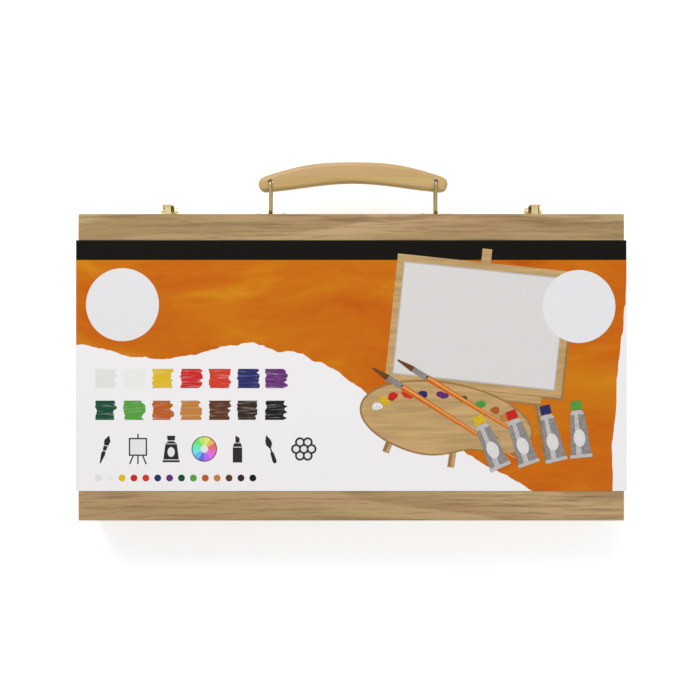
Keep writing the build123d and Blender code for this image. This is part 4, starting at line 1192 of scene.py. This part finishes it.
HOLE = 2
palette = bmesh.new()
kidney(palette, 1.4, 11, TAN_DARK)
kidney(palette, 0.0, 12, TAN)
hole_right, hole_down = on_palette(34, 8)
ink_disc(palette, hole_right, hole_down, 6.4, 13, stretch=0.62, material=TAN_DARK)
ink_disc(palette, hole_right + 0.5, hole_down + 0.6, 5.6, 14, stretch=0.58, material=HOLE)
ink_piece("sleeve_palette", palette, [tan, tan_dark, shade])
print("palette:", 2 * PALETTE_WIDE, "by", 2 * PALETTE_TALL, "mm")

# %% Dabs of paint
DAB_START, DAB_PITCH, DAB_BLOBS = 186, 15.5, 4
dab_inks = [ink(f"dab_ink_{index}", colour, 0.1) for index, colour in enumerate(PAINTS[1:12])]
dabs = bmesh.new()
random.seed(21)
for index in range(len(dab_inks)):
    angle = math.radians(DAB_START + DAB_PITCH * index)
    across = math.cos(angle) * (PALETTE_WIDE - 11)
    deep = math.sin(angle) * (PALETTE_TALL - 9)
    dab_right, dab_down = on_palette(across, deep)
    for blob in range(DAB_BLOBS):
        blob_right = dab_right + random.uniform(-1.8, 1.8)
        blob_down = dab_down + random.uniform(-1.2, 1.2)
        size = random.uniform(2.0, 3.4)
        ink_disc(dabs, blob_right, blob_down, size, 15 + blob, 0.72, material=index, segments=28)
ink_piece("sleeve_dabs", dabs, dab_inks)
print("dabs:", len(dab_inks))

# %% Brushes of the picture
TUBE, TUBE_GLINT, HANDLE, HAIR, CRIMP, LABEL, GLEAM, CAPS = range(8)
DRAWN_BRUSHES = (((214, 92), (318, 158)), ((232, 86), (330, 146)))
tools = bmesh.new()
for tip, end in DRAWN_BRUSHES:
    tip, end = Vector(tip), Vector(end)
    along = (end - tip).normalized()
    neck = tip + along * 26
    ink_bar(tools, neck, end, 4.6, 21, HANDLE, taper=0.35)
    ink_bar(tools, neck - Vector((0.4, 0.9)), end - Vector((0.1, 0.3)), 1.3, 22, GLEAM, taper=0.4)
    ink_bar(tools, tip + along * 26.4, tip + along * 13, 4.2, 22, TUBE)
    ink_bar(tools, tip + along * 14, tip + along * 1, 4.4, 23, HAIR, taper=0.25)
print("drawn brushes:", len(DRAWN_BRUSHES))

# %% Tubes of the picture
DRAWN_TUBES = ((300, 0.42), (322, 0.34), (344, 0.22), (364, 0.10))
CAP_PAINTS = (2, 3, 5, 8)
TUBE_SHAPES = (
    (25, TUBE, ((-5.2, -13), (5.2, -13), (7.4, 16), (-7.4, 16))),
    (26, TUBE_GLINT, ((-2.2, -13), (0.6, -13), (0.4, 16), (-3.4, 16))),
    (25, TUBE_GLINT, ((-3.6, -16), (3.6, -16), (5.2, -13), (-5.2, -13))),
    (27, CAPS, ((-3.8, -23), (3.8, -23), (4.0, -16.6), (-4.0, -16.6))),
    (26, CRIMP, ((-8.0, 16), (8.0, 16), (8.0, 18.4), (-8.0, 18.4))),
)
for index, (tube_right, turn) in enumerate(DRAWN_TUBES):
    tube_at = (tube_right, 148.0 - index * 3.0)
    for layer, material, corners in TUBE_SHAPES:
        own_ink = material + index if material == CAPS else material
        ink_shape(tools, moved(corners, *tube_at, turn=-turn), layer, own_ink)
    [label_at] = moved([(0, 4)], *tube_at, turn=-turn)
    ink_disc(tools, *label_at, 4.2, 28, stretch=1.5, turn=turn, material=LABEL)
tool_inks = [steel, steel_light, handle_ink, hair_ink, shade, cloth, gleam]
for index, paint in enumerate(CAP_PAINTS):
    tool_inks.append(ink(f"cap_ink_{index}", PAINTS[paint], 0.08))
ink_piece("sleeve_tools", tools, tool_inks)
print("drawn tubes:", len(DRAWN_TUBES))

# %% [markdown]
# ## Floor and light
# The floor is white paper and keeps the object's faint shadow. Stronger lamps would make it
# white, but would bleach the box as well. So floor and world look fully white only to the
# camera, in mirrors and through glass, by the Light Path node, and the lamps stay at a plain
# level. One large soft lamp hangs towards the handle side, and a weaker one opposite opens
# the shadows.


# %% Rays that should meet white
def white_rays(tree):
    """1 for rays from the camera, from a mirror or through glass, and 0 for all others."""
    rays = tree.nodes.new("ShaderNodeLightPath")
    seen = rays.outputs["Is Camera Ray"]
    for kind in ("Is Glossy Ray", "Is Transmission Ray"):
        either = tree.nodes.new("ShaderNodeMath")
        either.operation = "MAXIMUM"
        tree.links.new(seen, either.inputs[0])
        tree.links.new(rays.outputs[kind], either.inputs[1])
        seen = either.outputs[0]
    return seen


print("ray helper ready")

# %% Floor
FLOOR_SIZE = 6.0
FLOOR_GLOW = 0.48
floor_paper = Recipe("floor_paper", screen(236, 236, 236), 0.9)
floor_paper.set("Emission Color", (1, 1, 1, 1))
glow = floor_paper.maths("MULTIPLY", white_rays(floor_paper.tree), FLOOR_GLOW)
floor_paper.drive("Emission Strength", glow)
floor_work = bmesh.new()
bmesh.ops.create_grid(floor_work, x_segments=2, y_segments=2, size=FLOOR_SIZE)
floor_mesh = bpy.data.meshes.new("floor")
floor_work.to_mesh(floor_mesh)
floor_work.free()
floor_mesh.materials.append(floor_paper.material)
floor = bpy.data.objects.new("floor", floor_mesh)
bpy.context.scene.collection.objects.link(floor)
print("floor:", 2 * FLOOR_SIZE, "m wide")


# %% Lamps
def lamp(name, place, size, power):
    """A square soft lamp that looks at the box."""
    data = bpy.data.lights.new(name, "AREA")
    data.size = size
    data.energy = power
    made = bpy.data.objects.new(name, data)
    made.location = place
    made.rotation_euler = (-Vector(place)).to_track_quat("-Z", "Y").to_euler()
    bpy.context.scene.collection.objects.link(made)


LAMPS = {
    "main_lamp": ((0.5, -1.5, 1.5), 1.4, 27),
    "fill_lamp": ((-1.2, 1.2, 1.5), 1.6, 11),
}
for name, (place, size, power) in LAMPS.items():
    lamp(name, place, size, power)
print("lamps:", len(LAMPS))

# %% World
WORLD_LIGHT = 0.45
WORLD_WHITE = 1.0
world = bpy.data.worlds.new("studio")
world.use_nodes = True
sky = world.node_tree
strength = sky.nodes.new("ShaderNodeMapRange")
sky.links.new(white_rays(sky), strength.inputs["Value"])
strength.inputs["To Min"].default_value = WORLD_LIGHT
strength.inputs["To Max"].default_value = WORLD_WHITE
backdrop = sky.nodes["Background"]
sky.links.new(strength.outputs[0], backdrop.inputs["Strength"])
backdrop.inputs["Color"].default_value = (1, 1, 1, 1)
bpy.context.scene.world = world
print("world light:", WORLD_LIGHT)
